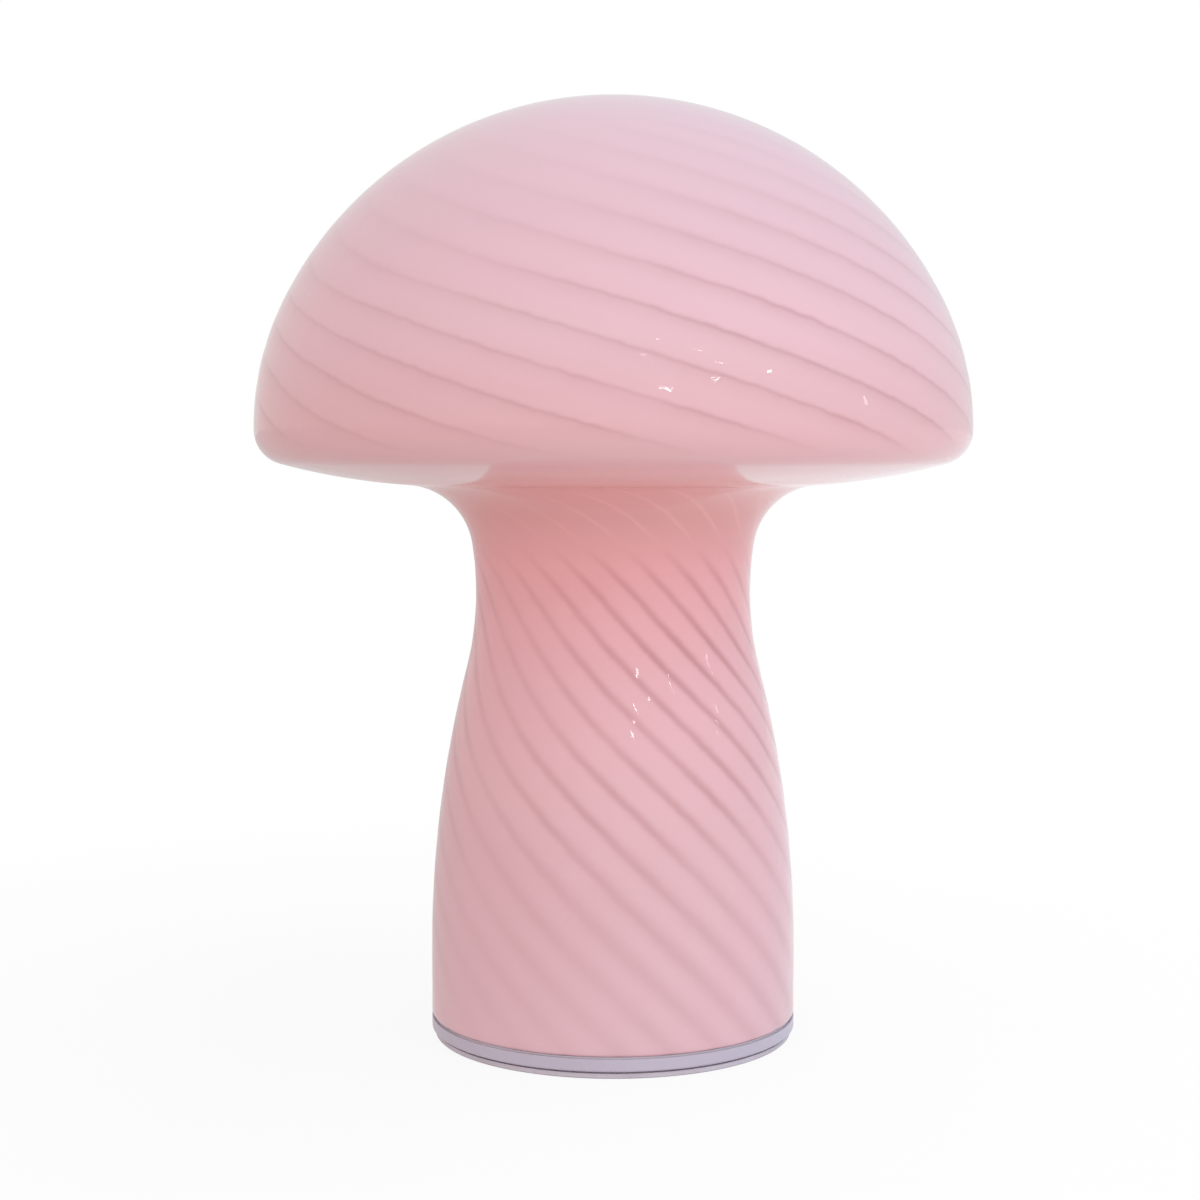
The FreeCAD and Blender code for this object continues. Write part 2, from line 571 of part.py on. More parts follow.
def bent_strip(label, across, up, heading, runs, bends, wall, width):
    """A strip of even width and thickness bent along runs and arcs, in the plane of X and Z.

    Heading is the first run's direction in degrees, anticlockwise from +X. A bend is a radius, a
    turn and its sense, +1 to the left.
    """
    body = make_body(label)
    path = make_sketch(body, "XZ_Plane")
    at, angle = (size(across), size(up)), math.radians(heading)
    pieces = []
    for number, run in enumerate(runs):
        start = at
        at = (at[0] + size(run) * math.cos(angle), at[1] + size(run) * math.sin(angle))
        pieces.append((Part.LineSegment(point(*start), point(*at)), (1, 2)))
        if number == len(bends):
            break
        radius, turn, sense = bends[number]
        side = angle + sense * math.pi / 2
        centre = (at[0] + size(radius) * math.cos(side), at[1] + size(radius) * math.sin(side))
        begin = side + math.pi
        finish = begin + sense * math.radians(size(turn))
        pieces.append(chain_arc(centre, size(radius), begin, finish))
        at = (centre[0] + size(radius) * math.cos(finish), centre[1] + size(radius) * math.sin(finish))
        angle += sense * math.radians(size(turn))
    edges = add_chain(path, pieces)
    pin_point(path, edges[0], 1, across, up)
    path.addConstraint(Sketcher.Constraint("Vertical" if heading == 90 else "Horizontal", edges[0]))
    for edge, run in zip(edges[::2], runs):
        measure(path, "Distance", edge, run)
    for edge, (radius, turn, sense) in zip(edges[1::2], bends):
        measure(path, "Radius", edge, radius)
        measure(path, "Angle", edge, turn)
    if heading == 90:
        section = make_sketch(body, "XY_Plane", up)
        block_outline(section, wall, width, across)
    else:
        section = make_sketch(body, "YZ_Plane", across)
        block_outline(section, width, wall, "0", up)
    document.recompute()
    sweep = body.newObject("PartDesign::AdditivePipe", "Bent")
    sweep.Profile = section
    sweep.Spine = (path, [f"Edge{number}" for number in range(1, len(edges) + 1)])
    document.recompute()
    return body


def base_housing():
    """The moulded base: a band under the glass, a spigot inside it and a deck on top."""
    lip = "foot_radius - band_lip"
    ring_inside = "holder_foot + fit_gap"
    ring_outside = f"{ring_inside} + ring_width"
    recess = "plate_radius + fit_gap"
    hole = "nipple_radius + fit_gap"
    body = turned("base_housing", [
        (hole, "deck_bottom"), (hole, "deck_height"),
        (ring_inside, "deck_height"), (ring_inside, "deck_height + ring_rise"),
        (ring_outside, "deck_height + ring_rise"), (ring_outside, "deck_height"),
        ("spigot_radius", "deck_height"), ("spigot_radius", "shelf"),
        (lip, "shelf"), (lip, "band_top"), ("foot_radius", "band_top"), ("foot_radius", "band_bottom"),
        (recess, "band_bottom"), (recess, "plate_top"),
        ("spigot_inside", "plate_top"), ("spigot_inside", "deck_bottom"),
    ])
    fillet(body, [("foot_radius", "band_bottom")], "band_round")
    chamfer(body, [("spigot_radius", "deck_height")], "spigot_edge")

    bosses = make_sketch(body, "XY_Plane", "plate_top")
    circle(bosses, "boss_radius", "boss_across", "boss_along")
    repeat_round(body, [pad(body, bosses, "deck_bottom - plate_top")], "screw_count")

    ribs = make_sketch(body, "XY_Plane", "deck_bottom - rib_drop")
    near, far = "(boss_circle + boss_radius - rib_root)", "(spigot_inside + rib_root)"
    corners = [(near, "+", "-"), (far, "+", "-"), (far, "-", "+"), (near, "-", "+")]
    polygon(ribs, [
        (f"{along} * cos(boss_turn) {across} rib_wall / 2 * sin(boss_turn)",
         f"{along} * sin(boss_turn) {up} rib_wall / 2 * cos(boss_turn)")
        for along, across, up in corners])
    repeat_round(body, [pad(body, ribs, "rib_drop")], "screw_count")

    pilots = make_sketch(body, "XY_Plane", "plate_top")
    circle(pilots, "cover_screw_radius + thread_gap", "boss_across", "boss_along")
    pilot_depth = "cover_screw_length - plate_wall + cut_past"
    repeat_round(body, [pocket(body, pilots, pilot_depth, True)], "screw_count")

    towers = make_sketch(body, "XY_Plane", "deck_height + tower_rise - tower_depth - tower_floor")
    tower_length = "clip_wall + 2 * clip_play + 2 * tower_wall"
    block_outline(towers, "clip_width + 2 * clip_play + 2 * tower_wall", tower_length, "0", "clip_root")
    repeat_round(body, [pad(body, towers, "tower_depth + tower_floor")], "clip_count")

    sockets = make_sketch(body, "XY_Plane", "deck_height + tower_rise")
    block_outline(sockets, "clip_width + 2 * clip_play", "clip_wall + 2 * clip_play", "0", "clip_root")
    repeat_round(body, [pocket(body, sockets, "tower_depth")], "clip_count")

    inlet = make_sketch(body, "XY_Plane")
    cut_back(inlet, "inlet_width + 2 * fit_gap", "spigot_inside - spigot_wall", "foot_radius + spigot_wall")
    pocket(body, inlet, "inlet_top + fit_gap / 2", True)
    return body


def bottom_cover():
    """The plate that closes the base; its stepped edge makes the shadow gap under the band."""
    body = turned("bottom_cover", [
        ("0", "pad_height"), ("foot_radius - gap_depth", "pad_height"),
        ("foot_radius - gap_depth", "band_bottom"), ("plate_radius", "band_bottom"),
        ("plate_radius", "plate_top"), ("0", "plate_top"),
    ])
    sinks = make_sketch(body, "XY_Plane", "pad_height")
    circle(sinks, "cover_screw_head + fit_gap", "boss_across", "boss_along")
    repeat_round(body, [pocket(body, sinks, "screw_sink", True)], "screw_count")
    holes = make_sketch(body, "XY_Plane", "pad_height")
    circle(holes, "cover_screw_radius + fit_gap", "boss_across", "boss_along")
    repeat_round(body, [pocket(body, holes, "plate_top", True)], "screw_count")
    notch = make_sketch(body, "XY_Plane")
    near, far = "flange_back - fit_gap", "foot_radius + gap_depth"
    cut_back(notch, "inlet_flange_width + 2 * fit_gap", near, far)
    pocket(body, notch, "plate_top + fit_gap", True)
    return body


def foot_pad():
    """The non-slip ring that the lamp stands on, with a gap at the back for the cord."""
    outside = "foot_radius - pad_inset"
    body = turned("foot_pad", [
        (f"{outside} - pad_width", "0"), (outside, "0"),
        (outside, "pad_height"), (f"{outside} - pad_width", "pad_height"),
    ])
    chamfer(body, [(outside, "0")], "pad_edge")
    notch = make_sketch(body, "XY_Plane")
    near, far = f"{outside} - pad_width - gap_depth", "foot_radius + gap_depth"
    cut_back(notch, "inlet_flange_width + 2 * fit_gap", near, far)
    pocket(body, notch, "pad_height + fit_gap", True)
    return body


def cover_screws():
    """Pan head screws that hold the bottom plate to the bosses."""
    body = make_body("cover_screws")
    head = make_sketch(body, "XY_Plane", "pad_height + fit_gap / 2")
    circle(head, "cover_screw_head", "boss_across", "boss_along")
    shank = make_sketch(body, "XY_Plane", "pad_height + screw_sink")
    circle(shank, "cover_screw_radius", "boss_across", "boss_along")
    pads = [pad(body, head, "screw_sink - fit_gap / 2"), pad(body, shank, "cover_screw_length")]
    repeat_round(body, pads, "screw_count")
    return body


def cord_grommet():
    """The soft bush of the cord's inlet: a flat sleeve with a flange inside the base."""
    body = make_body("cord_grommet")
    middle = "inlet_lift + inlet_height / 2"
    # the plane of X and Z faces -Y, so a lift towards the back is negative
    sleeve_end = "foot_radius + inlet_proud"
    sleeve = make_sketch(body, "XZ_Plane", f"0 - ({sleeve_end})")
    oblong(sleeve, "inlet_width", "inlet_height", middle)
    pad(body, sleeve, f"{sleeve_end} - flange_back")
    flange = make_sketch(body, "XZ_Plane", "0 - flange_face")
    block_outline(flange, "inlet_flange_width", "inlet_flange_height", "0",
                  "inlet_lift + inlet_flange_height / 2")
    pad(body, flange, "inlet_flange")
    bore = make_sketch(body, "XZ_Plane", "0 - (foot_radius + 2 * inlet_proud)")
    oblong(bore, "inlet_width - 2 * inlet_wall", "inlet_height - 2 * inlet_wall", middle)
    pocket(body, bore, "foot_radius + 3 * inlet_proud - flange_back", True)
    return body


def glass_seal():
    inside = "foot_radius - band_lip - fit_gap - seal_width"
    outside = "foot_radius - band_lip - fit_gap"
    return turned("glass_seal", [(inside, "shelf"), (outside, "shelf"),
                                 (outside, "glass_bottom"), (inside, "glass_bottom")])


def threaded_nipple():
    low, high = "deck_height - nipple_below", "deck_height - nipple_below + nipple_height"
    body = turned("threaded_nipple", [("nipple_bore", low), ("nipple_radius", low),
                                      ("nipple_radius", high), ("nipple_bore", high)])
    chamfer(body, [("nipple_radius", low), ("nipple_radius", high)], "nipple_edge")
    return body


def nipple_nut():
    """The hexagonal nut under the deck."""
    body = make_body("nipple_nut")
    outline = make_sketch(body, "XY_Plane", "deck_bottom - washer_wall - nut_height")
    flat, corner = "nut_flats / 2", "nut_flats / sqrt(3)"
    polygon(outline, [
        (corner, "0"), (f"{corner} / 2", flat), (f"0 - {corner} / 2", flat),
        (f"0 - {corner}", "0"), (f"0 - {corner} / 2", f"0 - {flat}"), (f"{corner} / 2", f"0 - {flat}"),
    ])
    pad(body, outline, "nut_height")
    bore = make_sketch(body, "XY_Plane", "deck_bottom")
    circle(bore, "nipple_radius + thread_gap")
    pocket(body, bore, "nut_height + washer_wall + cut_past")
    return body


def toothed_washer():
    """The washer that keeps the nut from turning; its rim is notched."""
    low = "deck_bottom - washer_wall"
    bore = "nipple_radius + fit_gap"
    body = turned("toothed_washer", [(bore, low), ("washer_radius", low),
                                     ("washer_radius", "deck_bottom"), (bore, "deck_bottom")])
    notch = make_sketch(body, "XY_Plane", "deck_bottom")
    circle(notch, "washer_notch", "washer_radius", "0")
    repeat_round(body, [pocket(body, notch, "washer_wall + cut_past")], "washer_teeth")
    return body


def holder_cap():
    """The lower half of the lampholder, which screws on the nipple."""
    thread, inside = "nipple_radius + thread_gap", "holder_radius - holder_wall"
    top, boss_top = "deck_height + holder_cap_height", "deck_height + cap_boss"
    shoulder = "deck_height + cap_boss + holder_wall"
    body = turned("holder_cap", [
        (thread, "deck_height"), ("holder_foot", "deck_height"),
        ("holder_foot", "deck_height + holder_step"), ("holder_radius", shoulder),
        ("holder_radius", top), (inside, top), (inside, f"{shoulder} + holder_wall"),
        ("holder_foot - holder_wall / 2", boss_top), (thread, boss_top),
    ])
    chamfer(body, [("holder_radius", shoulder)], "holder_edge")
    return body


def holder_skirt():
    """The upper half of the lampholder, which the bulb goes into."""
    seam, top = "deck_height + holder_cap_height", "deck_height + holder_height"
    spigot = "holder_radius - holder_wall - core_gap"
    inside = "holder_radius - holder_wall + fit_gap / 2"
    ledge = f"{spigot} - holder_wall"
    mouth = "holder_radius - mouth_draw"
    body = turned("holder_skirt", [
        (ledge, f"{seam} - socket_overlap"), (spigot, f"{seam} - socket_overlap"), (spigot, seam),
        ("holder_radius", seam), ("holder_radius", f"{top} - mouth_taper"), (mouth, top),
        ("holder_mouth", top), ("holder_mouth", f"{top} - holder_wall"), (inside, f"{top} - 2 * holder_wall"),
        (inside, "core_bottom"), (ledge, "core_bottom"),
    ])
    chamfer(body, [(mouth, top)], "mouth_edge")
    return body


def holder_core():
    """The insulating core that carries the contacts and the terminals."""
    outside = "holder_radius - holder_wall - core_gap"
    body = turned("holder_core", [("0", "core_bottom"), (outside, "core_bottom"),
                                  (outside, "core_top"), ("0", "core_top")])
    for side in ("block_place", "0 - block_place"):
        pockets = make_sketch(body, "XY_Plane", "core_bottom")
        block_outline(pockets, "block_length + 2 * fit_gap", "block_width + 2 * fit_gap", side)
        pocket(body, pockets, "block_height + 4 * fit_gap", True)
    slot = make_sketch(body, "XY_Plane", "core_bottom")
    block_outline(slot, "contact_wall + 2 * fit_gap", "strap_width + 2 * fit_gap", "strap_place")
    pocket(body, slot, "core_height + cut_past", True)
    rivet = make_sketch(body, "XY_Plane", "core_bottom")
    circle(rivet, "rivet_radius + thread_gap", "rivet_place")
    pocket(body, rivet, "core_height + cut_past", True)
    return body


def screw_shell():
    """The brass shell that the bulb screws into."""
    outside, top = "shell_bore + shell_wall", "core_top + shell_height"
    return turned("screw_shell", [
        ("shell_bore", "core_top"), ("shell_flange", "core_top"), ("shell_flange", "core_top + shell_wall"),
        (outside, "core_top + shell_wall"), (outside, top), ("shell_bore", top),
    ])


def centre_contact():
    """The sprung tongue that the bulb's tip presses on."""
    arm = "(contact_rise - 2 * contact_bend * (1 - cos(contact_lean))) / sin(contact_lean)"
    body = bent_strip("centre_contact", "0 - contact_start", "core_top + contact_wall / 2", 0,
                      ["contact_foot", arm, "contact_top"],
                      [("contact_bend", "contact_lean", 1), ("contact_bend", "contact_lean", -1)],
                      "contact_wall", "contact_width")
    hole = make_sketch(body, "XY_Plane", "core_top")
    circle(hole, "rivet_radius + thread_gap", "rivet_place")
    pocket(body, hole, "contact_wall + fit_gap", True)
    return body


def contact_rivet():
    """The rivet that leads the centre contact through the core to its terminal."""
    body = make_body("contact_rivet")
    block_top = "core_bottom + block_height + 2 * fit_gap"
    shank = make_sketch(body, "XY_Plane", block_top)
    circle(shank, "rivet_radius", "rivet_place")
    pad(body, shank, f"core_top + contact_wall - ({block_top})")
    head = make_sketch(body, "XY_Plane", "core_top + contact_wall")
    circle(head, "rivet_head", "rivet_place")
    pad(body, head, "rivet_head_height")
    return body


def shell_contact():
    """The strap from the brass shell down to its terminal."""
    rise = "core_height + shell_wall - contact_wall / 2 - fit_gap"
    return bent_strip("shell_contact", "strap_place", "core_bottom + fit_gap", 90,
                      [rise, "contact_wall / 2"], [("contact_wall", "90", 1)],
                      "contact_wall", "strap_width")


def terminal_blocks():
    """The two brass terminals under the core, each with a hole for a core of the cord."""
    body = make_body("terminal_blocks")
    for side in ("block_place", "0 - block_place"):
        block = make_sketch(body, "XY_Plane", "core_bottom + 2 * fit_gap")
        block_outline(block, "block_length", "block_width", side)
        pad(body, block, "block_height")
        for along, radius in (("0 - wire_place", "wire_hole"),
                              ("terminal_screw_place", "terminal_screw_radius + thread_gap")):
            hole = make_sketch(body, "XY_Plane", "core_bottom")
            circle(hole, radius, side, along)
            pocket(body, hole, "block_height - 4 * fit_gap", True)
    return body


def terminal_screws():
    body = make_body("terminal_screws")
    block_bottom = "core_bottom + 2 * fit_gap"
    for side in ("block_place", "0 - block_place"):
        head = make_sketch(body, "XY_Plane", f"{block_bottom} - terminal_head_height")
        circle(head, "terminal_screw_head", side, "terminal_screw_place")
        pad(body, head, "terminal_head_height")
        shank = make_sketch(body, "XY_Plane", block_bottom)
        circle(shank, "terminal_screw_radius", side, "terminal_screw_place")
        pad(body, shank, "terminal_screw_length")
    return body


def bulb_cap():
    """The bulb's thin brass screw cap, with a flare and a skirt over the glass neck."""
    low, flare = "tip_bottom + cap_lift", "tip_bottom + cap_lift + cap_thread"
    skirt, top = "tip_bottom + cap_lift + cap_thread + cap_flare", "tip_bottom + cap_height"
    inside, skirt_inside = "cap_shell_radius - cap_shell_wall", "cap_skirt_radius - cap_shell_wall"
    return turned("bulb_cap", [
        ("cap_lip", low), (inside, low), ("cap_shell_radius", f"{low} + 2 * cap_shell_wall"),
        ("cap_shell_radius", flare), ("cap_skirt_radius", skirt), ("cap_skirt_radius", top),
        (skirt_inside, top), (skirt_inside, f"{skirt} + cap_shell_wall / 2"),
        (inside, f"{flare} + cap_shell_wall / 2"),
        (inside, f"{low} + 2 * cap_shell_wall"), ("cap_lip", f"{low} + cap_shell_wall"),
    ])


def bulb_insulator():
    """The black glass cone between the tip contact and the screw cap."""
    low, high, top = "tip_bottom + tip_height", "tip_bottom + cap_lift", "board_bottom"
    wide, narrow = "cap_lip + 2 * cap_shell_wall", "cap_lip - fit_gap"
    return turned("bulb_insulator", [
        ("0", low), ("tip_radius + cap_shell_wall", low), (wide, f"{high} - cap_shell_wall"),
        (wide, high), (narrow, high), (narrow, top), ("0", top),
    ])


def bulb_tip_contact():
    body = turned("bulb_tip_contact", [
        ("0", "tip_bottom"), ("tip_radius", "tip_bottom"), ("tip_radius", "tip_bottom + tip_height"),
        ("0", "tip_bottom + tip_height"),
    ])
    chamfer(body, [("tip_radius", "tip_bottom")], "tip_height / 2")
    return body


def driver_board():
    """The small circuit board in the screw cap, with its capacitor."""
    body = make_body("driver_board")
    board = make_sketch(body, "XY_Plane", "board_bottom")
    block_outline(board, "board_width", "board_wall")
    pad(body, board, "board_height")
    capacitor = make_sketch(body, "XY_Plane", "board_bottom + capacitor_lift")
    circle(capacitor, "capacitor_radius", "0", "capacitor_radius + board_wall / 4")
    pad(body, capacitor, "capacitor_height")
    return body


def bulb_mount():
    """The glass mount: a flare sealed in the bulb's neck, drawn up into a thin rod."""
    body = turned("bulb_mount", [
        ("0", "mount_bottom"), ("mount_flare", "mount_bottom"),
        ("mount_flare", "mount_bottom + mount_radius / 2"),
        ("mount_radius", "mount_bottom + 2 * mount_flare"),
        ("mount_radius", "mount_top"), ("0", "mount_top"),
    ])
    chamfer(body, [("mount_radius", "mount_top")], "mount_radius / 2")
    return body


def rod_between(start, end, radius):
    """A round rod between two points, shortened by the lead clearance at each end."""
    line = end - start
    unit = FreeCAD.Vector(line).normalize()
    gap = size("lead_gap")
    rod = document.addObject("Part::Cylinder", "Rod")
    rod.setExpression("Radius", bound(radius))
    rod.Height = line.Length - 2 * gap
    rod.Placement = FreeCAD.Placement(start + unit * gap, FreeCAD.Rotation(FreeCAD.Vector(0, 0, 1), line))
    return rod


def around(radius, turn, height):
    return FreeCAD.Vector(radius * math.cos(turn), radius * math.sin(turn), height)


def filament_ends():
    """Lower and upper ends of the filaments, which lean in towards the top."""
    low_ring, top_ring = size("filament_low_ring"), size("filament_top_ring")
    length, count = size("filament_length"), round(size("filament_count"))
    middle = size("globe_middle")
    rise = math.sqrt(length ** 2 - (low_ring - top_ring) ** 2)
    turns = [2 * math.pi * (number + 0.5) / count for number in range(count)]
    low, high = middle - rise / 2, middle + rise / 2
    return [(around(low_ring, turn, low), around(top_ring, turn, high)) for turn in turns]


def group(label, rods):
    compound = document.addObject("Part::Compound", label)
    compound.Label = label
    compound.Links = rods
    document.recompute()
    return compound


def led_filaments():
    rods = [rod_between(low, high, "filament_radius") for low, high in filament_ends()]
    return group("led_filaments", rods)


def filament_leads():
    """Lead wires: one to each filament's lower end, a post, and a spoke to each upper end."""
    rods = []
    side, gap = size("mount_radius + lead_radius"), size("lead_radius + lead_gap")
    ends = filament_ends()
    spoke_height = ends[0][1].z + gap + size("spoke_lift")
    post_top = FreeCAD.Vector(0, 0, spoke_height + size("lead_radius"))
    rods.append(rod_between(FreeCAD.Vector(0, 0, size("mount_top")), post_top, "lead_radius"))
    for low, high in ends:
        turn = math.atan2(low.y, low.x)
        foot = around(math.hypot(low.x, low.y), turn, low.z - gap)
        rods.append(rod_between(around(side, turn, foot.z - size("mount_radius")), foot, "lead_radius"))
        tip = around(math.hypot(high.x, high.y), turn, spoke_height)
        rods.append(rod_between(around(size("lead_radius"), turn, spoke_height), tip, "lead_radius"))
    return group("filament_leads", rods)


def spring_clip(label, azimuth):
    """A leaf of spring steel: a tang in its socket, an arm that bears on the glass, a lead-in tip."""
    tang_bottom = "deck_height + tower_rise - tower_depth + clip_floor"
    body = bent_strip(label, "clip_root", tang_bottom, 90,
                      ["clip_tang", "clip_arm", "clip_tip"],
                      [("clip_bend", "clip_lean", -1), ("clip_bulge", "clip_lean + clip_return", 1)],
                      "clip_wall", "clip_width")
    body.Placement = FreeCAD.Placement(FreeCAD.Vector(), FreeCAD.Rotation(FreeCAD.Vector(0, 0, 1), azimuth))
    return body


def build_all():
    pieces = [
        glass_body(), glass_seal(), base_housing(), bottom_cover(), foot_pad(), cover_screws(),
        cord_grommet(), threaded_nipple(), toothed_washer(), nipple_nut(),
        holder_cap(), holder_skirt(), holder_core(), screw_shell(), centre_contact(), contact_rivet(),
        shell_contact(), terminal_blocks(), terminal_screws(),
        bulb_glass(), bulb_cap(), bulb_insulator(), bulb_tip_contact(), driver_board(), bulb_mount(),
        led_filaments(), filament_leads(),
    ]
    for number, side in enumerate(("rear", "left", "right")):
        pieces.append(spring_clip(f"clip_{side}", size("clip_turn") + 360 * number / size("clip_count")))
    document.recompute()
    return pieces


def check(pieces):
    """Stop on anything that failed, before a file is written."""
    for item in document.Objects:
        if "Invalid" in item.State or "Error" in item.State:
            raise RuntimeError(f"{item.Label} ({item.Name}) failed")
        if item.TypeId == "Sketcher::SketchObject" and not item.FullyConstrained:
            owner = item.getParentGeoFeatureGroup().Label
            raise RuntimeError(f"{item.Name} of {owner} isn't fully constrained")
    for piece in pieces:
        if piece.Shape.isNull() or not piece.Shape.isValid() or not piece.Shape.Solids:
            raise RuntimeError(f"{piece.Label} has no valid solid")


def write(pieces):
    os.makedirs("parts", exist_ok=True)
    for piece in pieces:
        piece.Shape.exportStep(f"parts/{piece.Label}.step")
        print(f"{piece.Label}: {len(piece.Shape.Solids)} solid(s), {piece.Shape.Volume / 1000:.3f} cm3")


lamp = build_all()
check(lamp)
write(lamp)
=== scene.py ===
import bmesh
import bpy
import json
import math
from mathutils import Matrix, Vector


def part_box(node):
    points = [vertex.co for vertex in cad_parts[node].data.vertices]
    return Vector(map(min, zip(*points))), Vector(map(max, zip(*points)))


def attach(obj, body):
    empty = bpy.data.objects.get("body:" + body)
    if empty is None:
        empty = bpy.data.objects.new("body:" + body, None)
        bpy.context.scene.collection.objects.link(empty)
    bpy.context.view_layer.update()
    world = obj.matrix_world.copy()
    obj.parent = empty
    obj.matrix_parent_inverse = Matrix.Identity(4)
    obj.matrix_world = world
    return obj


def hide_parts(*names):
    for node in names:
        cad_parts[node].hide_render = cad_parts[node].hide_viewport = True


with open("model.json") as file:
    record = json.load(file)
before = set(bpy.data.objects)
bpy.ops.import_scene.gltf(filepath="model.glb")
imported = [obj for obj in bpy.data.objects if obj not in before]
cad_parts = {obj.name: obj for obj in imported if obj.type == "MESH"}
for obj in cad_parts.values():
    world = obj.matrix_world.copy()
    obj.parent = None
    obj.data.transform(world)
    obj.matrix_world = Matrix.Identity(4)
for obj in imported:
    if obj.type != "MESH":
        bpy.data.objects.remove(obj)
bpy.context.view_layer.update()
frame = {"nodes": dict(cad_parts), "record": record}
mm = 0.001
print("frame loaded:", len(frame["nodes"]), "nodes")

# the values of a noise texture lie mostly between these
noiseLow, noiseHigh = 0.3, 0.7


# an sRGB hex colour as the linear RGBA that the sockets take
def colour(hexCode):
    parts = [int(hexCode[i:i + 2], 16) / 255 for i in (1, 3, 5)]
    return [c / 12.92 if c <= 0.04045 else ((c + 0.055) / 1.055) ** 2.4 for c in parts] + [1.0]


# adds one node: inputs are values or links by socket name or number, stops are a ramp's, and the rest are
# the node's own settings
def addNode(tree, kind, inputs=None, stops=(), **settings):
    node = tree.nodes.new("ShaderNode" + kind)
    for name, value in settings.items():
        setattr(node, name, value)
    for name, value in (inputs or {}).items():
        if isinstance(value, bpy.types.NodeSocket):
            tree.links.new(value, node.inputs[name])
        else:
            node.inputs[name].default_value = value
    for i, (place, tint) in enumerate(stops):
        elements = node.color_ramp.elements
        element = elements[i] if i < len(elements) else elements.new(place)
        element.position = place
        element.color = colour(tint) if isinstance(tint, str) else (tint, tint, tint, 1)
    return node


# a new material and its tree and shader; the keywords are the shader's own sockets
def newMaterial(name, **sockets):
    material = bpy.data.materials.new(name)
    material.use_nodes = True
    shader = material.node_tree.nodes["Principled BSDF"]
    for socket, value in sockets.items():
        shader.inputs[socket.replace("_", " ")].default_value = value
    return material, material.node_tree, shader


# the value at a place of a line drawn through (place, value) points
def along(points, place):
    for (start, first), (end, last) in zip(points, points[1:]):
        if place <= end:
            return first + (last - first) * max(0.0, place - start) / (end - start)
    return points[-1][1]


# 0 below the low value, 1 above the high one, and a soft step between
def softStep(value, low, high):
    share = min(max((value - low) / (high - low), 0.0), 1.0)
    return share * share * (3 - 2 * share)


# cased soda-lime glass, blown into a ribbed mould and twisted: a glossy skin over a pink body that hides what
# is behind it
opal = {
    # along the section, as shares of its length: foot, stem, warm neck, underside, cap, crown; a least-squares
    # fit to the photograph, in a program of its own, gave the first stops, and each was then changed by hand.
    # The neck's stops (0.36, 0.40) are darker and redder, partly the glass's own deeper pink and partly painted
    # shade under the cap; the stop at 0.46 is lighter, painted light that hides the dark line where the
    # underside turns out of sight
    "body": ((0.0, "#dfb8c0"), (0.15, "#deb3ba"), (0.27, "#e4b3ba"), (0.36, "#ebadb0"), (0.40, "#e3a4a2"),
             (0.46, "#eeb2ae"), (0.52, "#e9bcbb"), (0.58, "#dfb0b5"), (0.65, "#e1b9c2"), (0.74, "#dfbbc6"),
             (1.0, "#e1c6d5")),
    "lineTint": "#e7dddc",  # what a full line lets through
    # across one line and its gap: broad at the foot, thin in the neck, crisp on the cap's lower half, and soft
    # above; drawn by hand after profiles that a program measured in the photograph
    "footLine": ((0.0, 1.0), (0.12, 0.8), (0.25, 0.4), (0.4, 0.05), (0.5, 0.0), (0.65, 0.05), (0.8, 0.4),
                 (0.92, 0.85), (1.0, 1.0)),
    "stemLine": ((0.0, 1.0), (0.06, 0.85), (0.10, 0.6), (0.16, 0.3), (0.22, 0.08), (0.30, 0.0), (0.70, 0.0),
                 (0.80, 0.1), (0.86, 0.38), (0.91, 0.75), (0.96, 0.97), (1.0, 1.0)),
    "neckLine": ((0.0, 1.0), (0.04, 0.7), (0.10, 0.0), (0.90, 0.0), (0.96, 0.7), (1.0, 1.0)),
    "capLine": ((0.0, 1.0), (0.03, 0.8), (0.06, 0.35), (0.10, 0.07), (0.14, 0.0), (0.55, 0.0), (0.75, 0.18),
                (0.88, 0.4), (0.94, 0.58), (0.98, 0.95), (1.0, 1.0)),
    "crownLine": ((0.0, 0.9), (0.07, 0.7), (0.13, 0.35), (0.20, 0.08), (0.28, 0.0), (0.5, 0.0), (0.72, 0.22),
                  (0.86, 0.5), (0.95, 0.8), (1.0, 0.9)),
    # where each takes over from the one before
    "lineChanges": (("stemLine", 0.08, 0.18), ("neckLine", 0.37, 0.38), ("capLine", 0.5, 0.56),
                    ("crownLine", 0.66, 0.78)),
    # gloss along the section: it drops where the underside turns out of sight, as its mirror image breaks up
    # there
    "gloss": ((0.42, 0.46), (0.445, 0.04), (0.485, 0.05), (0.505, 0.46)),
    "wobbleSize": 4 * mm,  # the lines' edges aren't quite even
    "wobble": 0.09,
    "patchSize": 30 * mm,  # the lines come and go over this length, between these shares
    "patchLeast": 0.65,
    "patchMost": 1.35,
    "waveSize": 12 * mm,  # hand-blown waviness, from crest to crest
    "waveDepth": 0.12 * mm,
    "rippleSize": 4 * mm,  # a finer unevenness that breaks the glints
    "rippleDepth": 0.07 * mm,
    # no waviness in the neck and under the cap, where the glass would mirror itself crumpled
    "calmFrom": (0.34, 0.38),
    "calmTo": (0.54, 0.58),
}


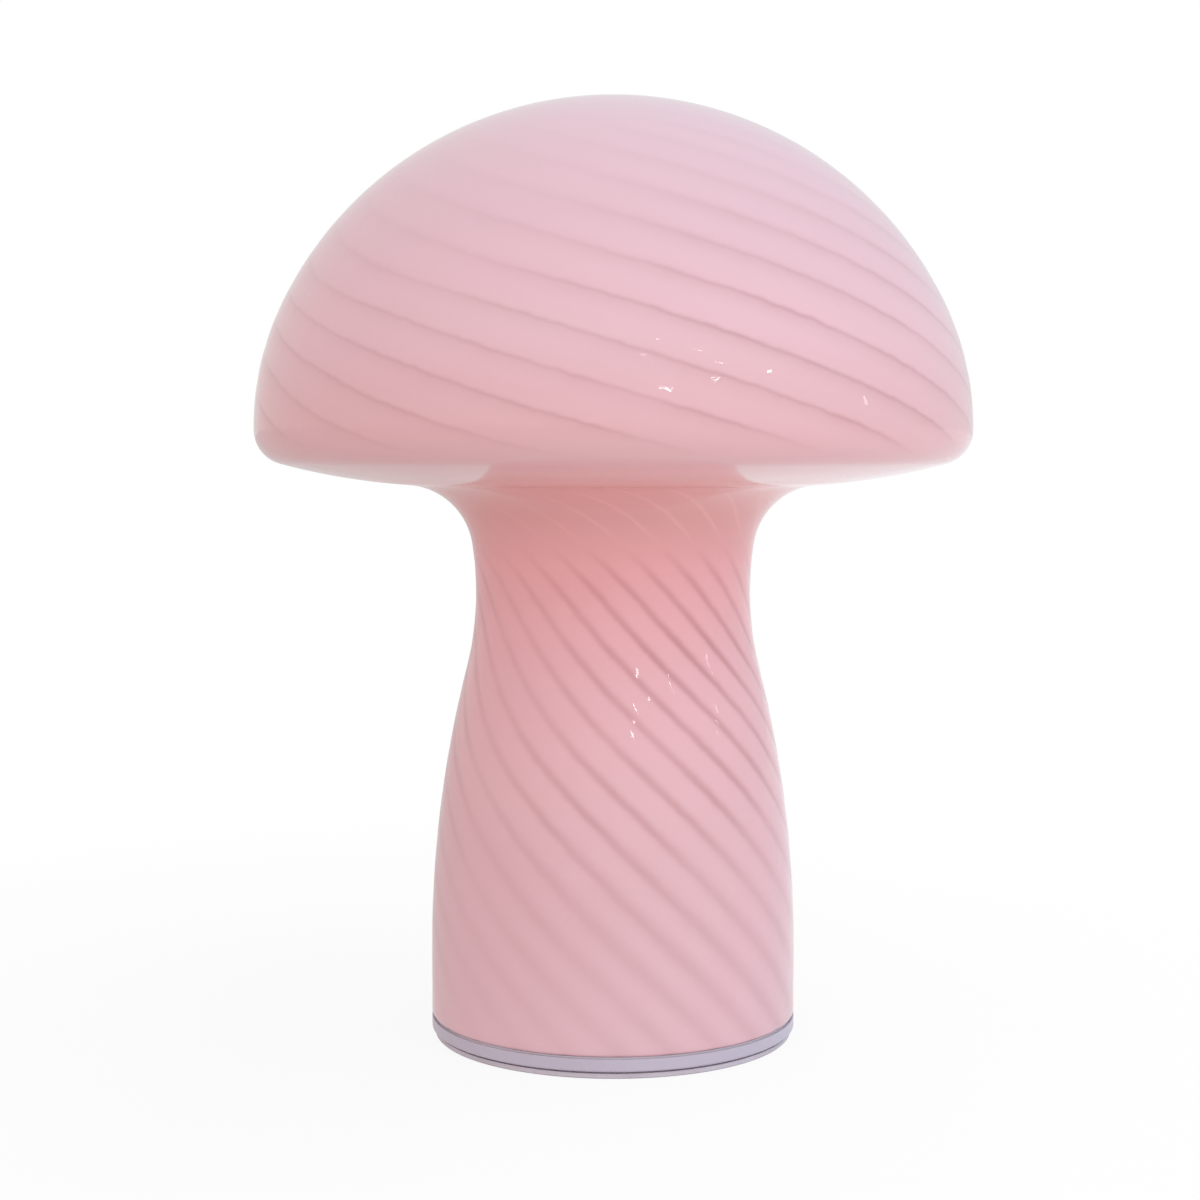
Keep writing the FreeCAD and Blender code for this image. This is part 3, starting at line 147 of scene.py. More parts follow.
def opalGlass():
    material, tree, shader = newMaterial("casedOpalGlassBlown", Roughness=0.06, IOR=1.5)
    place = addNode(tree, "Attribute", attribute_name="swirl").outputs["Vector"]
    parts = addNode(tree, "SeparateXYZ", {"Vector": place}).outputs
    coords = addNode(tree, "TexCoord").outputs["Object"]

    # where each point lies across its line, from 0 to 1
    angle = addNode(tree, "Math", {0: parts["Y"], 1: parts["X"]}, operation="ARCTAN2").outputs[0]
    turns = addNode(tree, "Math", {0: angle, 1: 2 * math.pi}, operation="DIVIDE").outputs[0]
    wobbles = addNode(tree, "TexNoise", {"Vector": coords, "Scale": 1 / opal["wobbleSize"], "Detail": 1.0})
    wobbled = addNode(tree, "Math", {0: wobbles.outputs["Fac"], 1: opal["wobble"], 2: turns},
                      operation="MULTIPLY_ADD").outputs[0]
    centred = addNode(tree, "Math", {0: wobbled, 1: opal["wobble"] / 2}, operation="SUBTRACT").outputs[0]
    cycle = addNode(tree, "Math", {0: centred}, operation="FRACT").outputs[0]

    line = addNode(tree, "ValToRGB", {"Fac": cycle}, opal["footLine"]).outputs["Color"]
    for shape, start, end in opal["lineChanges"]:
        inside = addNode(tree, "MapRange", {"Value": parts["Z"], "From Min": start,
                                            "From Max": end}).outputs[0]
        following = addNode(tree, "ValToRGB", {"Fac": cycle}, opal[shape]).outputs["Color"]
        line = addNode(tree, "Mix", {0: inside, 2: line, 3: following}).outputs[0]

    patches = addNode(tree, "TexNoise", {"Vector": coords, "Scale": 1 / opal["patchSize"], "Detail": 2.0})
    patchy = addNode(tree, "MapRange", {"Value": patches.outputs["Fac"],
                                        "From Min": noiseLow, "From Max": noiseHigh,
                                        "To Min": opal["patchLeast"], "To Max": opal["patchMost"]}).outputs[0]
    strength = addNode(tree, "Attribute", attribute_name="lineStrength").outputs["Fac"]
    share = addNode(tree, "Math", {0: line, 1: strength}, operation="MULTIPLY").outputs[0]
    share = addNode(tree, "Math", {0: share, 1: patchy}, operation="MULTIPLY").outputs[0]
    body = addNode(tree, "ValToRGB", {"Fac": parts["Z"]}, opal["body"]).outputs["Color"]
    # unclamped, so that a negative share makes the neck's lines paler than the body
    lined = addNode(tree, "Mix", {0: share, 6: body, 7: colour(opal["lineTint"])}, data_type="RGBA",
                    blend_type="MULTIPLY", clamp_factor=False).outputs[2]
    tree.links.new(lined, shader.inputs["Base Color"])

    gloss = addNode(tree, "ValToRGB", {"Fac": parts["Z"]}, opal["gloss"]).outputs["Color"]
    tree.links.new(gloss, shader.inputs["Specular IOR Level"])

    ends = []
    for low, high in (opal["calmFrom"], opal["calmTo"]):
        end = addNode(tree, "MapRange", {"Value": parts["Z"], "From Min": low, "From Max": high})
        ends.append(end.outputs[0])
    calm = addNode(tree, "Math", {0: ends[0], 1: ends[1]}, operation="SUBTRACT").outputs[0]
    wavy = addNode(tree, "Math", {0: 1.0, 1: calm}, operation="SUBTRACT").outputs[0]
    normal = None
    for size, depth in (("waveSize", "waveDepth"), ("rippleSize", "rippleDepth")):
        swells = addNode(tree, "TexNoise", {"Vector": coords, "Scale": 1 / opal[size],
                                            "Detail": 1.0}).outputs["Fac"]
        bump = addNode(tree, "Bump", {"Strength": wavy, "Distance": opal[depth], "Height": swells})
        if normal:
            tree.links.new(normal, bump.inputs["Normal"])
        normal = bump.outputs["Normal"]
    tree.links.new(normal, shader.inputs["Normal"])
    return material


lining = {
    "tints": ("#eadcdd", "#f1e6e6"),
    "cloudSize": 25 * mm,
}


# the opal layer inside, seen only when the glass is lifted: milky, cloudy and a little duller than outside
def opalLining():
    material, tree, shader = newMaterial("opalCasingInside", Roughness=0.12, IOR=1.5)
    coords = addNode(tree, "TexCoord").outputs["Object"]
    clouds = addNode(tree, "TexNoise", {"Vector": coords, "Scale": 1 / lining["cloudSize"], "Detail": 3.0})
    milk = addNode(tree, "ValToRGB", {"Fac": clouds.outputs["Fac"]},
                   ((noiseLow, lining["tints"][0]), (noiseHigh, lining["tints"][1])))
    tree.links.new(milk.outputs["Color"], shader.inputs["Base Color"])
    return material


# the glass: one wire for its section, turned about the lamp's axis; these are the construction's sizes, which
# were rounded from a least-squares fit to the photograph's outline
glass = {
    "footRadius": 45.1 * mm,
    "footStraight": 15.6 * mm,
    "waistRadius": 33.85 * mm,
    "waistDrop": 39.4 * mm,  # below the cap's widest ring
    "waistCurve": 77.0 * mm,
    "throatDrop": 30.2 * mm,
    "throatCurve": 17.0 * mm,
    "underCurve": 160.0 * mm,
    "capRadius": 87.4 * mm,
    "rimCurve": 8.4 * mm,
    "ringHeight": 149.5 * mm,
    "shoulderCurve": 69.0 * mm,
    "wall": 3.5 * mm,
    "rimRound": 0.9 * mm,  # fire-polished edge of the open foot
    "turns": 288,  # faces round the axis
    "outerStep": 1.25 * mm,
    "innerStep": 6.0 * mm,
    "relief": 0.16 * mm,  # depth of a swirl line in the outer face
    "reliefPower": 3,  # the higher, the narrower the groove
    "plainFrom": 112 * mm,  # arc lengths between which the neck and the underside have no relief
    "plainTo": 196 * mm,
    "plainFade": 8 * mm,
    "sharpAngle": 60,  # degrees past which an edge is shaded sharp
}

# the swirl: phase of a line = count * azimuth - lean * sin(azimuth) + climb + drift; its numbers were rounded and
# smoothed by hand after what a program measured on the lines in the photograph
swirl = {
    "count": 24,
    "lean": 7.0,  # draws the lines apart at the front of the cap and together at its back
    "leanFrom": 128 * mm,  # arc lengths from the foot where the lean starts and is full
    "leanTo": 186 * mm,
    "start": 0.88,  # phase of a dark line at the front, 28 mm above the rim
    "startAt": 28 * mm,
    # how fast the phase climbs, in radians a metre, by millimetres of arc length
    "rates": ((0, 528), (46, 528), (103, 670), (110, 715), (184, 715), (198, 620), (214, 580), (320, 585)),
    # how far the lines bend off their even course away from the clear side
    "drifts": ((0, 1.45), (68, 1.45), (110, -1.85), (130, 0), (180, 0), (194, -0.8), (206, 0), (218, 1.6),
               (320, 1.8)),
    # depth of colour: dark lines up to the neck, thin pale ones in it, none under the cap, dark again above
    "depths": ((0, 0.3), (16, 0.4), (44, 0.7), (66, 1), (94, 1), (110, 0.85), (118, 0), (124, -0.4), (148, 0),
               (176, 0), (184, 0.86), (207, 0.9), (226, 0.5), (245, 0.2), (273, 0.03), (285, 0), (320, 0)),
    "clearSide": 40,  # azimuth in degrees where the lines are clearest
    # what is left of them a quarter turn away
    "leastShares": ((0, 0.25), (120, 0.3), (180, 0.5), (320, 0.5)),
}


# the arcs of the section from the foot up, as (centre, turn); both faces share the centres
def sectionArcs():
    g = glass
    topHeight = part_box("glass_body")[1].z
    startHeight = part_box("glass_body")[0].z + g["footStraight"]
    waist = Vector((g["waistRadius"] + g["waistCurve"], g["ringHeight"] - g["waistDrop"]))
    inward = g["footRadius"] - g["waistRadius"]
    upward = waist.y - startHeight
    bellyCurve = (inward ** 2 + upward ** 2) / (2 * inward) - g["waistCurve"]
    belly = Vector((g["footRadius"] - bellyCurve, startHeight))
    throatUp = g["ringHeight"] - g["throatDrop"] - waist.y
    throatIn = math.sqrt((g["waistCurve"] - g["throatCurve"]) ** 2 - throatUp ** 2)
    throat = waist + Vector((-throatIn, throatUp))

    # the underside touches the throat on its outside and the rim on its inside
    rim = Vector((g["capRadius"] - g["rimCurve"], g["ringHeight"]))
    near = g["throatCurve"] + g["underCurve"]
    far = g["underCurve"] - g["rimCurve"]
    span = (rim - throat).length
    forward = (near ** 2 - far ** 2 + span ** 2) / (2 * span)
    aside = math.sqrt(near ** 2 - forward ** 2)
    unit = (rim - throat) / span
    under = throat + unit * forward + Vector((-unit.y, unit.x)) * aside

    shoulder = Vector((g["capRadius"] - g["shoulderCurve"], g["ringHeight"]))
    rise = topHeight - g["ringHeight"]
    crownCurve = (shoulder.x ** 2 + rise ** 2 - g["shoulderCurve"] ** 2) / (2 * (rise - g["shoulderCurve"]))
    crown = Vector((0, topHeight - crownCurve))

    def slope(start, end):
        return math.atan2(end.y - start.y, end.x - start.x)

    ends = [slope(belly, waist), slope(waist, throat), slope(throat, under), slope(under, rim)]
    crownStart = slope(crown, shoulder)
    return [
        (belly, ends[0]),
        (waist, ends[1] - ends[0] - math.pi),
        (throat, ends[2] - ends[1]),
        (under, ends[3] - ends[2] + math.pi),
        (rim, -ends[3]),
        (shoulder, crownStart),
        (crown, math.pi / 2 - crownStart),
    ]


# spins one vertex of the section about a centre, and gives the last vertex
def drawArc(bm, vertex, centre, turn, step):
    radius = (Vector((vertex.co.x, vertex.co.z)) - centre).length
    steps = max(2, round(radius * abs(turn) / step))
    made = bmesh.ops.spin(bm, geom=[vertex], cent=(centre.x, 0, centre.y), axis=(0, -1, 0), angle=turn,
                          steps=steps)
    return made["geom_last"][0]


# extrudes one vertex of the section by a straight run, and gives the last vertex
def drawRun(bm, vertex, across, up, step):
    steps = max(1, round(math.hypot(across, up) / step))
    for i in range(steps):
        vertex = bmesh.ops.extrude_vert_indiv(bm, verts=[vertex])["verts"][0]
        vertex.co += Vector((across / steps, 0, up / steps))
    return vertex


# the phase that the swirl climbs from its start to an arc length
def climb(reach):
    total = 0.0
    steps = max(1, round(abs(reach - swirl["startAt"]) / mm))
    step = (reach - swirl["startAt"]) / steps
    for i in range(steps):
        total += step * along(swirl["rates"], (swirl["startAt"] + (i + 0.5) * step) / mm)
    return swirl["start"] + total


# what the swirl does at one arc length: climb, lean, drift, strength, its least share, and the relief's share
def swirlAt(reach):
    fade = glass["plainFade"]
    relief = 1 - softStep(reach, glass["plainFrom"], glass["plainFrom"] + fade)
    relief += softStep(reach, glass["plainTo"] - fade, glass["plainTo"])
    lean = swirl["lean"] * softStep(reach, swirl["leanFrom"], swirl["leanTo"])
    drift, strength, least = (along(swirl[name], reach / mm) for name in ("drifts", "depths", "leastShares"))
    return climb(reach), lean, drift, strength, least, relief


def makeGlass(materials):
    bm = bmesh.new()
    alongLayer = bm.verts.layers.float.new("along")
    wallLayer = bm.verts.layers.float.new("outerWall")
    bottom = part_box("glass_body")[0].z
    rimRound, wall = glass["rimRound"], glass["wall"]
    start = bm.verts.new((glass["footRadius"], 0, bottom + rimRound))

    # outer face, from the foot to the crown
    vertex = drawRun(bm, start, 0, glass["footStraight"] - rimRound, glass["outerStep"])
    for centre, turn in sectionArcs():
        vertex = drawArc(bm, vertex, centre, turn, glass["outerStep"])
    bm.verts.ensure_lookup_table()
    walked = 0.0
    last = start.co
    for vert in bm.verts:
        walked += (vert.co - last).length
        last = vert.co
        vert[alongLayer] = walked + rimRound
        vert[wallLayer] = 1.0
    total = walked + rimRound
    outerCount = len(bm.verts)

    # round the edge of the foot, and up the inner face
    edge = Vector((glass["footRadius"] - rimRound, bottom + rimRound))
    vertex = drawArc(bm, start, edge, -math.pi / 2, rimRound / 2)
    vertex = drawRun(bm, vertex, 2 * rimRound - wall, 0, wall)
    edge = Vector((glass["footRadius"] - wall + rimRound, bottom + rimRound))
    vertex = drawArc(bm, vertex, edge, -math.pi / 2, rimRound / 2)
    vertex = drawRun(bm, vertex, 0, glass["footStraight"] - rimRound, glass["innerStep"])
    for centre, turn in sectionArcs():
        vertex = drawArc(bm, vertex, centre, turn, glass["innerStep"])

    bmesh.ops.spin(bm, geom=bm.verts[:] + bm.edges[:], cent=(0, 0, 0), axis=(0, 0, 1), angle=2 * math.pi,
                   steps=glass["turns"], use_merge=True)
    bmesh.ops.remove_doubles(bm, verts=bm.verts, dist=1e-6)
    bmesh.ops.recalc_face_normals(bm, faces=bm.faces)
    bm.normal_update()

    # the swirl as attributes: (cosine, sine, share of the arc length) and how strong the line is
    swirlLayer = bm.verts.layers.float_vector.new("swirl")
    lineLayer = bm.verts.layers.float.new("lineStrength")
    rings = {}
    moves = []
    clearest = math.radians(swirl["clearSide"])
    for vert in bm.verts:
        reach = vert[alongLayer]
        if reach not in rings:
            rings[reach] = swirlAt(reach)
        climbed, lean, drift, strength, least, relief = rings[reach]
        azimuth = math.atan2(vert.co.x, -vert.co.y)
        facing = math.cos(azimuth - clearest)
        phase = swirl["count"] * azimuth - lean * math.sin(azimuth) + climbed + drift * (1 - facing)
        strength *= least + (1 - least) * abs(facing)
        vert[swirlLayer] = (math.cos(phase), math.sin(phase), reach / total)
        vert[lineLayer] = strength
        if vert[wallLayer] > 0.5:
            groove = max(0.0, math.cos(phase)) ** glass["reliefPower"]
            moves.append((vert, vert.normal * -(glass["relief"] * max(0.0, strength) * relief * groove)))
    for vert, move in moves:
        vert.co += move
    for face in bm.faces:
        face.material_index = 0 if all(v[wallLayer] > 0.5 for v in face.verts) else 1
    print("glass:", len(bm.verts), "vertices,", outerCount, "rings outside, arc length",
          round(total / mm, 1), "mm")

    mesh = bpy.data.meshes.new("blownGlass")
    bm.to_mesh(mesh)
    bm.free()
    for material in materials:
        mesh.materials.append(material)
    mesh.set_sharp_from_angle(angle=math.radians(glass["sharpAngle"]))
    piece = bpy.data.objects.new("blownGlass", mesh)
    bpy.context.scene.collection.objects.link(piece)
    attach(piece, "glass")
    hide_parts("glass_body")


makeGlass([opalGlass(), opalLining()])

# finishes of the construction's own nodes, by material slot: the two tints that it drifts between, over patches
# of one size, its least and most roughness, and the size and depth of a fine grain, with sizes in millimetres;
# grains under half a millimetre are drawn coarser, to be seen
finishes = {
    # moulded polycarbonate: a clean satin band with a soft sheen; its grey-lavender tints are painted shade,
    # darker than the pale plastic, for the shade under the glass's overhang
    "base_plastic": {"name": "polycarbonateMouldedPaintedShade", "tints": ("#bbb4c4", "#c0bac9"), "patch": 40,
                     "rough": (0.26, 0.32), "grain": 2.0, "depth": 0.003},
    # the same plastic, spark-eroded: duller underneath
    "plate_plastic": {"name": "polycarbonateSparkEroded", "tints": ("#b9b2be", "#c5bdc9"), "patch": 15,
                      "rough": (0.45, 0.6), "grain": 0.6, "depth": 0.02},
    # soft elastomer: dull, faintly dusty
    "pad_rubber": {"name": "elastomerPadMoulded", "tints": ("#c2bac4", "#d0c9d2"), "patch": 9,
                   "rough": (0.7, 0.85), "grain": 0.6, "depth": 0.02},
    # silicone ring: a little waxy, in the band's own tint, so with the same painted shade
    "seal_silicone": {"name": "siliconeExtruded", "tints": ("#c3bac4", "#cec5cf"), "patch": 12,
                      "rough": (0.4, 0.52), "grain": 1.0, "depth": 0.006},
    # a cleaner elastomer: an even matt
    "grommet_rubber": {"name": "elastomerBushMoulded", "tints": ("#cdc6ce", "#dad4da"), "patch": 4,
                       "rough": (0.55, 0.68), "grain": 0.5, "depth": 0.01},
    # bright zinc plating: cloudy, here bluer, there yellower
    "plated_steel": {"name": "steelZincPlated", "tints": ("#b9bec2", "#c8c7bc"), "patch": 3,
                     "rough": (0.24, 0.4), "grain": 0.5, "depth": 0.002, "metal": 1.0},
    # rolled stainless strip: fine lines along the strip
    "spring_steel": {"name": "stainlessStripRolled", "tints": ("#a8aaad", "#bdbfc1"), "patch": 1.2,
                     "rough": (0.2, 0.34), "grain": 0.5, "depth": 0.0015, "metal": 1.0,
                     "stretch": (1.0, 1.0, 0.08)},
    # glass-filled thermoplastic: creamy white satin
    "holder_plastic": {"name": "thermoplasticMouldedSatin", "tints": ("#e2dfd5", "#ece9e2"), "patch": 14,
                       "rough": (0.36, 0.48), "grain": 0.6, "depth": 0.012},
    # fired steatite: chalky with a warm speckle
    "core_ceramic": {"name": "steatiteFired", "tints": ("#dcd7ca", "#edeae0"), "patch": 0.8,
                     "rough": (0.62, 0.8), "grain": 0.5, "depth": 0.02},
    # stamped brass: rubbed bright in places, dull in others
    "contact_brass": {"name": "brassStamped", "tints": ("#c59d53", "#dbb870"), "patch": 3,
                      "rough": (0.22, 0.42), "grain": 0.5, "depth": 0.006, "metal": 1.0},
    # nickel over brass: warm silver
    "cap_nickel": {"name": "brassNickelPlated", "tints": ("#c1bbb0", "#d0ccc4"), "patch": 5,
                   "rough": (0.18, 0.3), "grain": 0.5, "depth": 0.002, "metal": 1.0},
    # poured black glass: glossy with faint waves
    "insulator_glass": {"name": "blackGlassPoured", "tints": ("#121216", "#1d1d22"), "patch": 2,
                        "rough": (0.06, 0.16), "grain": 1.5, "depth": 0.02},
    # a solder blob: lumpy, between bright and grey
    "solder": {"name": "tinSolder", "tints": ("#a9aaa8", "#bcbcb9"), "patch": 1.2,
               "rough": (0.28, 0.5), "grain": 1.0, "depth": 0.05, "metal": 1.0},
    # solder mask over copper: the tracks show as paler green
    "board_green": {"name": "circuitBoardSolderMask", "tints": ("#1f5a31", "#38794a"), "patch": 2,
                    "rough": (0.3, 0.42), "grain": 1.0, "depth": 0.02, "edge": 0.02},
    # phosphor in silicone: grainy yellow
    "filament_phosphor": {"name": "phosphorSiliconeCoat", "tints": ("#dfa42f", "#efbe52"), "patch": 0.9,
                          "rough": (0.5, 0.7), "grain": 0.5, "depth": 0.02},
}
softEdge = 0.2  # how softly the tints run into each other, where a finish doesn't say
# rolled threads by node, in millimetres
threads = {
    "bulb_cap": {"pitch": 2.82, "depth": 0.5, "from": 32, "to": 55},
    "screw_shell": {"pitch": 2.82, "depth": 0.5, "from": 42, "to": 62},
    "threaded_nipple": {"pitch": 1.0, "depth": 0.3, "from": 0, "to": 40},
}


# a procedural finish; a thread is drawn as relief on the plain cylinder, one turn of the angle to each
# pitch of height
def makeFinish(finish, thread):
    name = finish["name"] + ("Threaded" if thread else "")
    material, tree, shader = newMaterial(name, Metallic=finish.get("metal", 0.0))
    coords = addNode(tree, "TexCoord").outputs["Object"]
    laid = addNode(tree, "VectorMath", {0: coords, 1: finish.get("stretch", (1, 1, 1))},
                   operation="MULTIPLY").outputs[0]
    patches = addNode(tree, "TexNoise", {"Vector": laid, "Scale": 1 / (finish["patch"] * mm),
                                         "Detail": 3.0}).outputs["Fac"]
    edge = finish.get("edge", softEdge)
    tint = addNode(tree, "ValToRGB", {"Fac": patches},
                   ((0.5 - edge, finish["tints"][0]), (0.5 + edge, finish["tints"][1])))
    tree.links.new(tint.outputs["Color"], shader.inputs["Base Color"])
    rough = addNode(tree, "MapRange", {"Value": patches, "From Min": noiseLow, "From Max": noiseHigh,
                                       "To Min": finish["rough"][0], "To Max": finish["rough"][1]})
    tree.links.new(rough.outputs[0], shader.inputs["Roughness"])
    grain = addNode(tree, "TexNoise", {"Vector": laid, "Scale": 1 / (finish["grain"] * mm), "Detail": 2.0})
    normal = addNode(tree, "Bump", {"Height": grain.outputs["Fac"], "Strength": 1.0,
                                    "Distance": finish["depth"] * mm}).outputs["Normal"]
    if thread:
        axes = addNode(tree, "SeparateXYZ", {"Vector": coords}).outputs
        angle = addNode(tree, "Math", {0: axes["Y"], 1: axes["X"]}, operation="ARCTAN2").outputs[0]
        raised = addNode(tree, "Math", {0: axes["Z"], 1: 2 * math.pi / (thread["pitch"] * mm)},
                         operation="MULTIPLY").outputs[0]
        phase = addNode(tree, "Math", {0: raised, 1: angle}, operation="SUBTRACT").outputs[0]
        wave = addNode(tree, "Math", {0: phase}, operation="SINE").outputs[0]
        # it runs out over a millimetre at each end
        for end, inner in ((thread["from"], thread["from"] + 1), (thread["to"], thread["to"] - 1)):
            within = addNode(tree, "MapRange", {"Value": axes["Z"], "From Min": end * mm,
                                                "From Max": inner * mm})
            wave = addNode(tree, "Math", {0: wave, 1: within.outputs[0]}, operation="MULTIPLY").outputs[0]
        normal = addNode(tree, "Bump", {"Height": wave, "Strength": 1.0, "Distance": thread["depth"] / 2 * mm,
                                        "Normal": normal}).outputs["Normal"]
    tree.links.new(normal, shader.inputs["Normal"])
    return material


clear = {
    "tints": ("#f7faf9", "#ffffff"),
    "waveSize": 14 * mm,
    "waveDepth": 0.03 * mm,
}


# drawn soda-lime glass: clear, with a slow waviness that bends what is seen through it a little
def clearGlass():
    material, tree, shader = newMaterial("sodaGlassClearBlown", Roughness=0.0, IOR=1.5,
                                         Transmission_Weight=1.0)
    coords = addNode(tree, "TexCoord").outputs["Object"]
    waves = addNode(tree, "TexNoise", {"Vector": coords, "Scale": 1 / clear["waveSize"],
                                       "Detail": 1.0}).outputs["Fac"]
    tint = addNode(tree, "ValToRGB", {"Fac": waves},
                   ((noiseLow, clear["tints"][0]), (noiseHigh, clear["tints"][1])))
    tree.links.new(tint.outputs["Color"], shader.inputs["Base Color"])
    bump = addNode(tree, "Bump", {"Height": waves, "Strength": 1.0, "Distance": clear["waveDepth"]})
    tree.links.new(bump.outputs["Normal"], shader.inputs["Normal"])
    return material


made = {"bulb_clear": clearGlass()}
for subpart in frame["record"]["subparts"]:
    node, slot = subpart["node"], subpart["material_slot"]
    if slot == "opal_glass":
        continue
    kind = node if node in threads else slot
    if kind not in made:
        made[kind] = makeFinish(finishes[slot], threads.get(node))
    mesh = frame["nodes"][node].data
    mesh.materials.clear()
    mesh.materials.append(made[kind])
print("finishes:", len(made))

# the studio: a pale floor and soft light. leftWall, farWall, nearTint, nearShare and the key's power and tint are
# what the same fit gave for the light; rightWall and the fill's began there and were then changed
studio = {
    "floorSize": 12.0,
    # painted shade: the floor's paint is darker on the left, so that the glass mirrors it darker there
    "floorLeft": "#dad4d4",  # the floor is a little darker on the left
    "floorRight": "#fcfcff",
    "floorTurn": 0.09,  # how far from the lamp it reaches each colour
    "floorNear": 0.9,  # share that the camera sees as plain white, by the lamp and farther off
    "floorShade": 0.05,
    "floorClear": 0.35,
    "leftWall": "#e7ded8",  # the room's light is warmer and darker on the left than on the right
    "farWall": "#e5e5e5",
    "rightWall": "#e2ebf1",
    "nearTint": "#ffefee",  # and brighter from behind the camera
    "nearShare": 0.37,
    "mirroredShare": 0.15,  # how much of the white backdrop shines in glass and metal, over the room's tints
    "softboxes": {
        "key": {"place": (1.1, -0.7, 1.0), "size": 0.9, "power": 4.8, "tint": "#e9f8ff"},
        "fill": {"place": (-0.5, -1.1, 0.12), "size": 0.8, "power": 1.7, "tint": "#ffece6"},
    },
    "softboxAim": 0.12,  # height on the lamp's axis
    # window panes, small and bright, that only make glints on the glass: azimuth and height in degrees, and
    # brightness; a program first worked them out from the glints in the photograph, then they were moved by hand
    "panes": ((12, 31, 0.3), (15, 15, 0.9), (26, 28, 0.4), (32, 21, 0.5), (48, 19, 0.8), (80, 9, 0.2)),
    "paneFar": 1.3,
    "paneSize": 0.03,
    "panePower": 0.09,
    "paneAim": 0.13,
}
white = (1, 1, 1, 1)


# painted sweep: matt and pale; the camera sees it white except where the lamp's shadow falls, and the
# glass mirrors its tints, whose darker left side is painted shade
def makeFloor():
    bm = bmesh.new()
    bmesh.ops.create_grid(bm, x_segments=1, y_segments=1, size=studio["floorSize"] / 2)
    mesh = bpy.data.meshes.new("floor")
    bm.to_mesh(mesh)
    bm.free()
    floor = bpy.data.objects.new("floor", mesh)
    bpy.context.scene.collection.objects.link(floor)
    material, tree, shader = newMaterial("paintedSweep", Roughness=0.9, Specular_IOR_Level=0.0)
    place = addNode(tree, "TexCoord").outputs["Object"]
    across = addNode(tree, "SeparateXYZ", {"Vector": place}).outputs["X"]
    turn = studio["floorTurn"]
    side = addNode(tree, "MapRange", {"Value": across, "From Min": -turn, "From Max": turn}).outputs[0]
    paint = addNode(tree, "ValToRGB", {"Fac": side},
                    ((0.0, studio["floorLeft"]), (1.0, studio["floorRight"]))).outputs["Color"]
    tree.links.new(paint, shader.inputs["Base Color"])
    rays = addNode(tree, "LightPath").outputs
    glowTint = addNode(tree, "Mix", {0: rays["Is Camera Ray"], 6: paint, 7: white},
                       data_type="RGBA").outputs[2]
    glow = addNode(tree, "Emission", {"Color": glowTint, "Strength": 1.0}).outputs[0]
    away = addNode(tree, "VectorMath", {0: place}, operation="LENGTH").outputs["Value"]
    clearing = addNode(tree, "MapRange", {"Value": away, "From Min": studio["floorShade"],
                                          "From Max": studio["floorClear"], "To Min": studio["floorNear"],
                                          "To Max": 1.0}).outputs[0]
    seen = addNode(tree, "Math", {0: rays["Is Camera Ray"], 1: rays["Is Transmission Ray"]},
                   operation="MAXIMUM").outputs[0]
    seen = addNode(tree, "Math", {0: seen, 1: rays["Is Glossy Ray"]}, operation="MAXIMUM").outputs[0]
    share = addNode(tree, "Math", {0: seen, 1: clearing}, operation="MULTIPLY").outputs[0]
    both = addNode(tree, "MixShader", {0: share, 1: shader.outputs[0], 2: glow}).outputs[0]
    tree.links.new(both, tree.nodes["Material Output"].inputs["Surface"])
    mesh.materials.append(material)


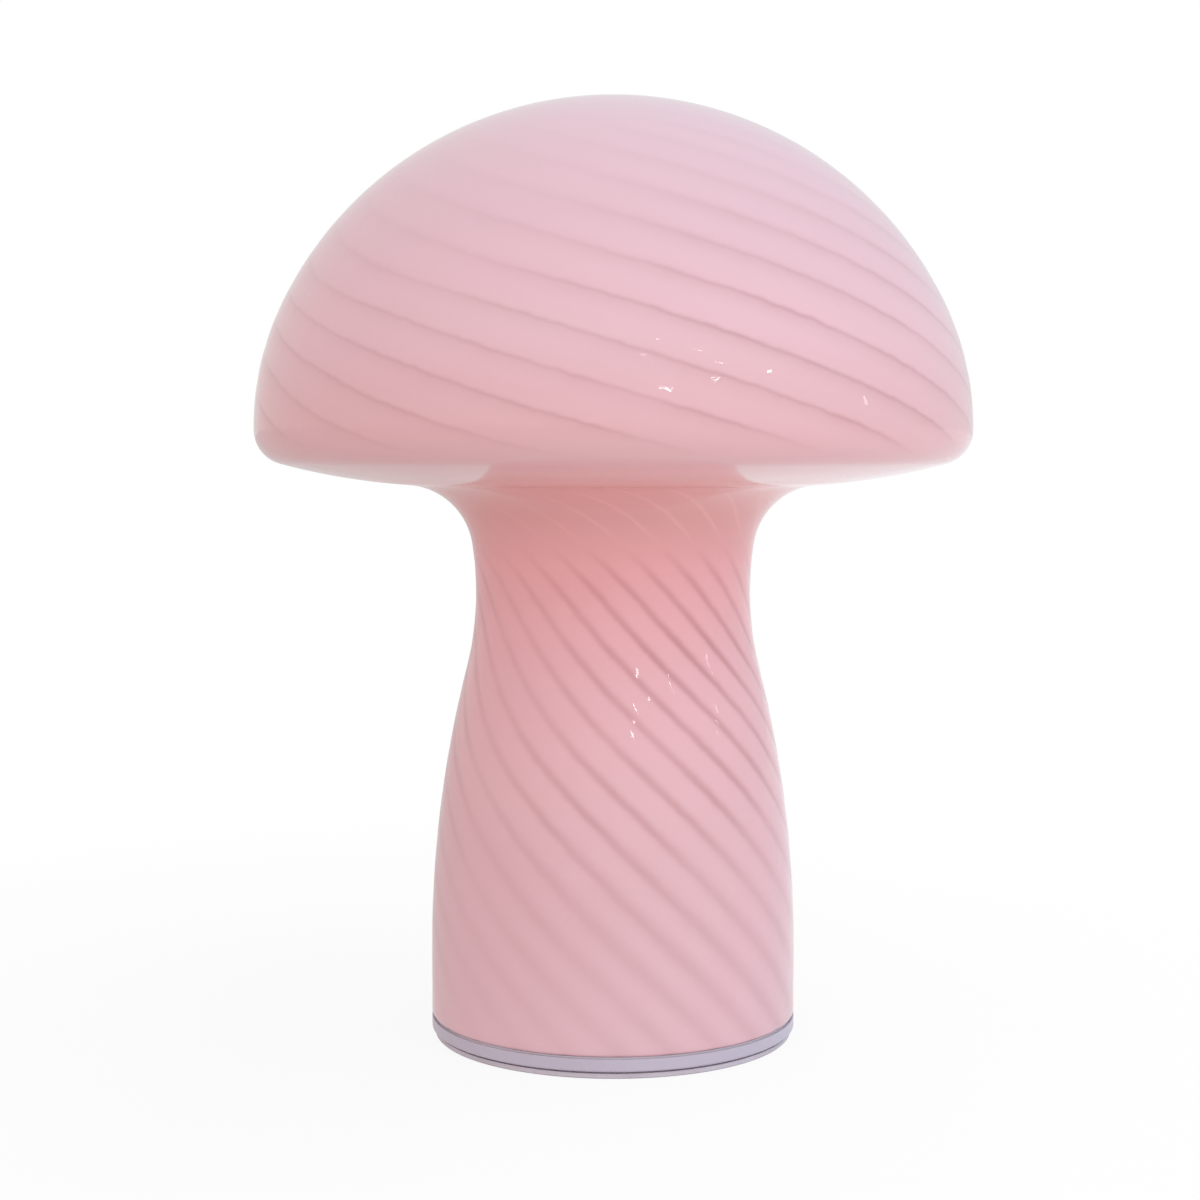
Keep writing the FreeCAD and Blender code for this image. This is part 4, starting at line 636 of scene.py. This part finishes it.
# a pale room: warmer on the left, cooler on the right, brighter behind the camera, and plain white to
# the camera
def makeWorld():
    world = bpy.data.worlds.new("studioRoom")
    world.use_nodes = True
    bpy.context.scene.world = world
    tree = world.node_tree
    rays = addNode(tree, "LightPath").outputs
    facing = addNode(tree, "TexCoord").outputs["Generated"]
    axes = addNode(tree, "SeparateXYZ", {"Vector": facing}).outputs
    across = addNode(tree, "MapRange", {"Value": axes["X"], "From Min": -1.0}).outputs[0]
    walls = addNode(tree, "ValToRGB", {"Fac": across},
                    ((0.0, studio["leftWall"]), (0.5, studio["farWall"]), (1.0, studio["rightWall"])))
    near = addNode(tree, "MapRange", {"Value": axes["Y"], "From Min": 0.0, "From Max": -1.0,
                                      "To Max": studio["nearShare"]}).outputs[0]
    room = addNode(tree, "Mix", {0: near, 6: walls.outputs["Color"], 7: colour(studio["nearTint"])},
                   data_type="RGBA", blend_type="ADD").outputs[2]
    mirrored = addNode(tree, "Math", {0: rays["Is Glossy Ray"], 1: studio["mirroredShare"]},
                       operation="MULTIPLY").outputs[0]
    seen = addNode(tree, "Math", {0: rays["Is Camera Ray"], 1: rays["Is Transmission Ray"]},
                   operation="MAXIMUM").outputs[0]
    seen = addNode(tree, "Math", {0: seen, 1: mirrored}, operation="MAXIMUM").outputs[0]
    tint = addNode(tree, "Mix", {0: seen, 6: room, 7: white}, data_type="RGBA").outputs[2]
    tree.links.new(tint, tree.nodes["Background"].inputs["Color"])


# a square light at a place, turned to a point
def makeLight(name, place, aim, size, power):
    data = bpy.data.lights.new(name, "AREA")
    data.shape = "SQUARE"
    data.size = size
    data.energy = power
    light = bpy.data.objects.new(name, data)
    light.location = place
    light.rotation_euler = (aim - Vector(place)).to_track_quat("-Z", "Y").to_euler()
    bpy.context.scene.collection.objects.link(light)
    return light


def makeLights():
    for name, box in studio["softboxes"].items():
        aim = Vector((0, 0, studio["softboxAim"]))
        softbox = makeLight(name, box["place"], aim, box["size"], box["power"])
        softbox.data.color = colour(box["tint"])[:3]
        softbox.visible_glossy = False
    for azimuth, height, share in studio["panes"]:
        turn, lift = math.radians(azimuth), math.radians(height)
        way = Vector((math.sin(turn) * math.cos(lift), -math.cos(turn) * math.cos(lift), math.sin(lift)))
        aim = Vector((0, 0, studio["paneAim"]))
        pane = makeLight("pane", aim + way * studio["paneFar"], aim, studio["paneSize"],
                         studio["panePower"] * share)
        pane.visible_diffuse = False


# fitted to the photograph's outline
camera = {
    "place": (-3.22 * mm, -534.1 * mm, 144.2 * mm),
    "pitch": 3.91,  # degrees below level
    "lens": 64.9,
    "sensor": 36.0,
}


def makeCamera():
    data = bpy.data.cameras.new("view")
    data.lens = camera["lens"]
    data.sensor_width = camera["sensor"]
    eye = bpy.data.objects.new("view", data)
    eye.location = camera["place"]
    eye.rotation_euler = (math.radians(90 - camera["pitch"]), 0, 0)
    bpy.context.scene.collection.objects.link(eye)
    bpy.context.scene.camera = eye


makeFloor()
makeWorld()
makeLights()
makeCamera()
bpy.context.scene.view_settings.view_transform = "Standard"
print("studio ready")
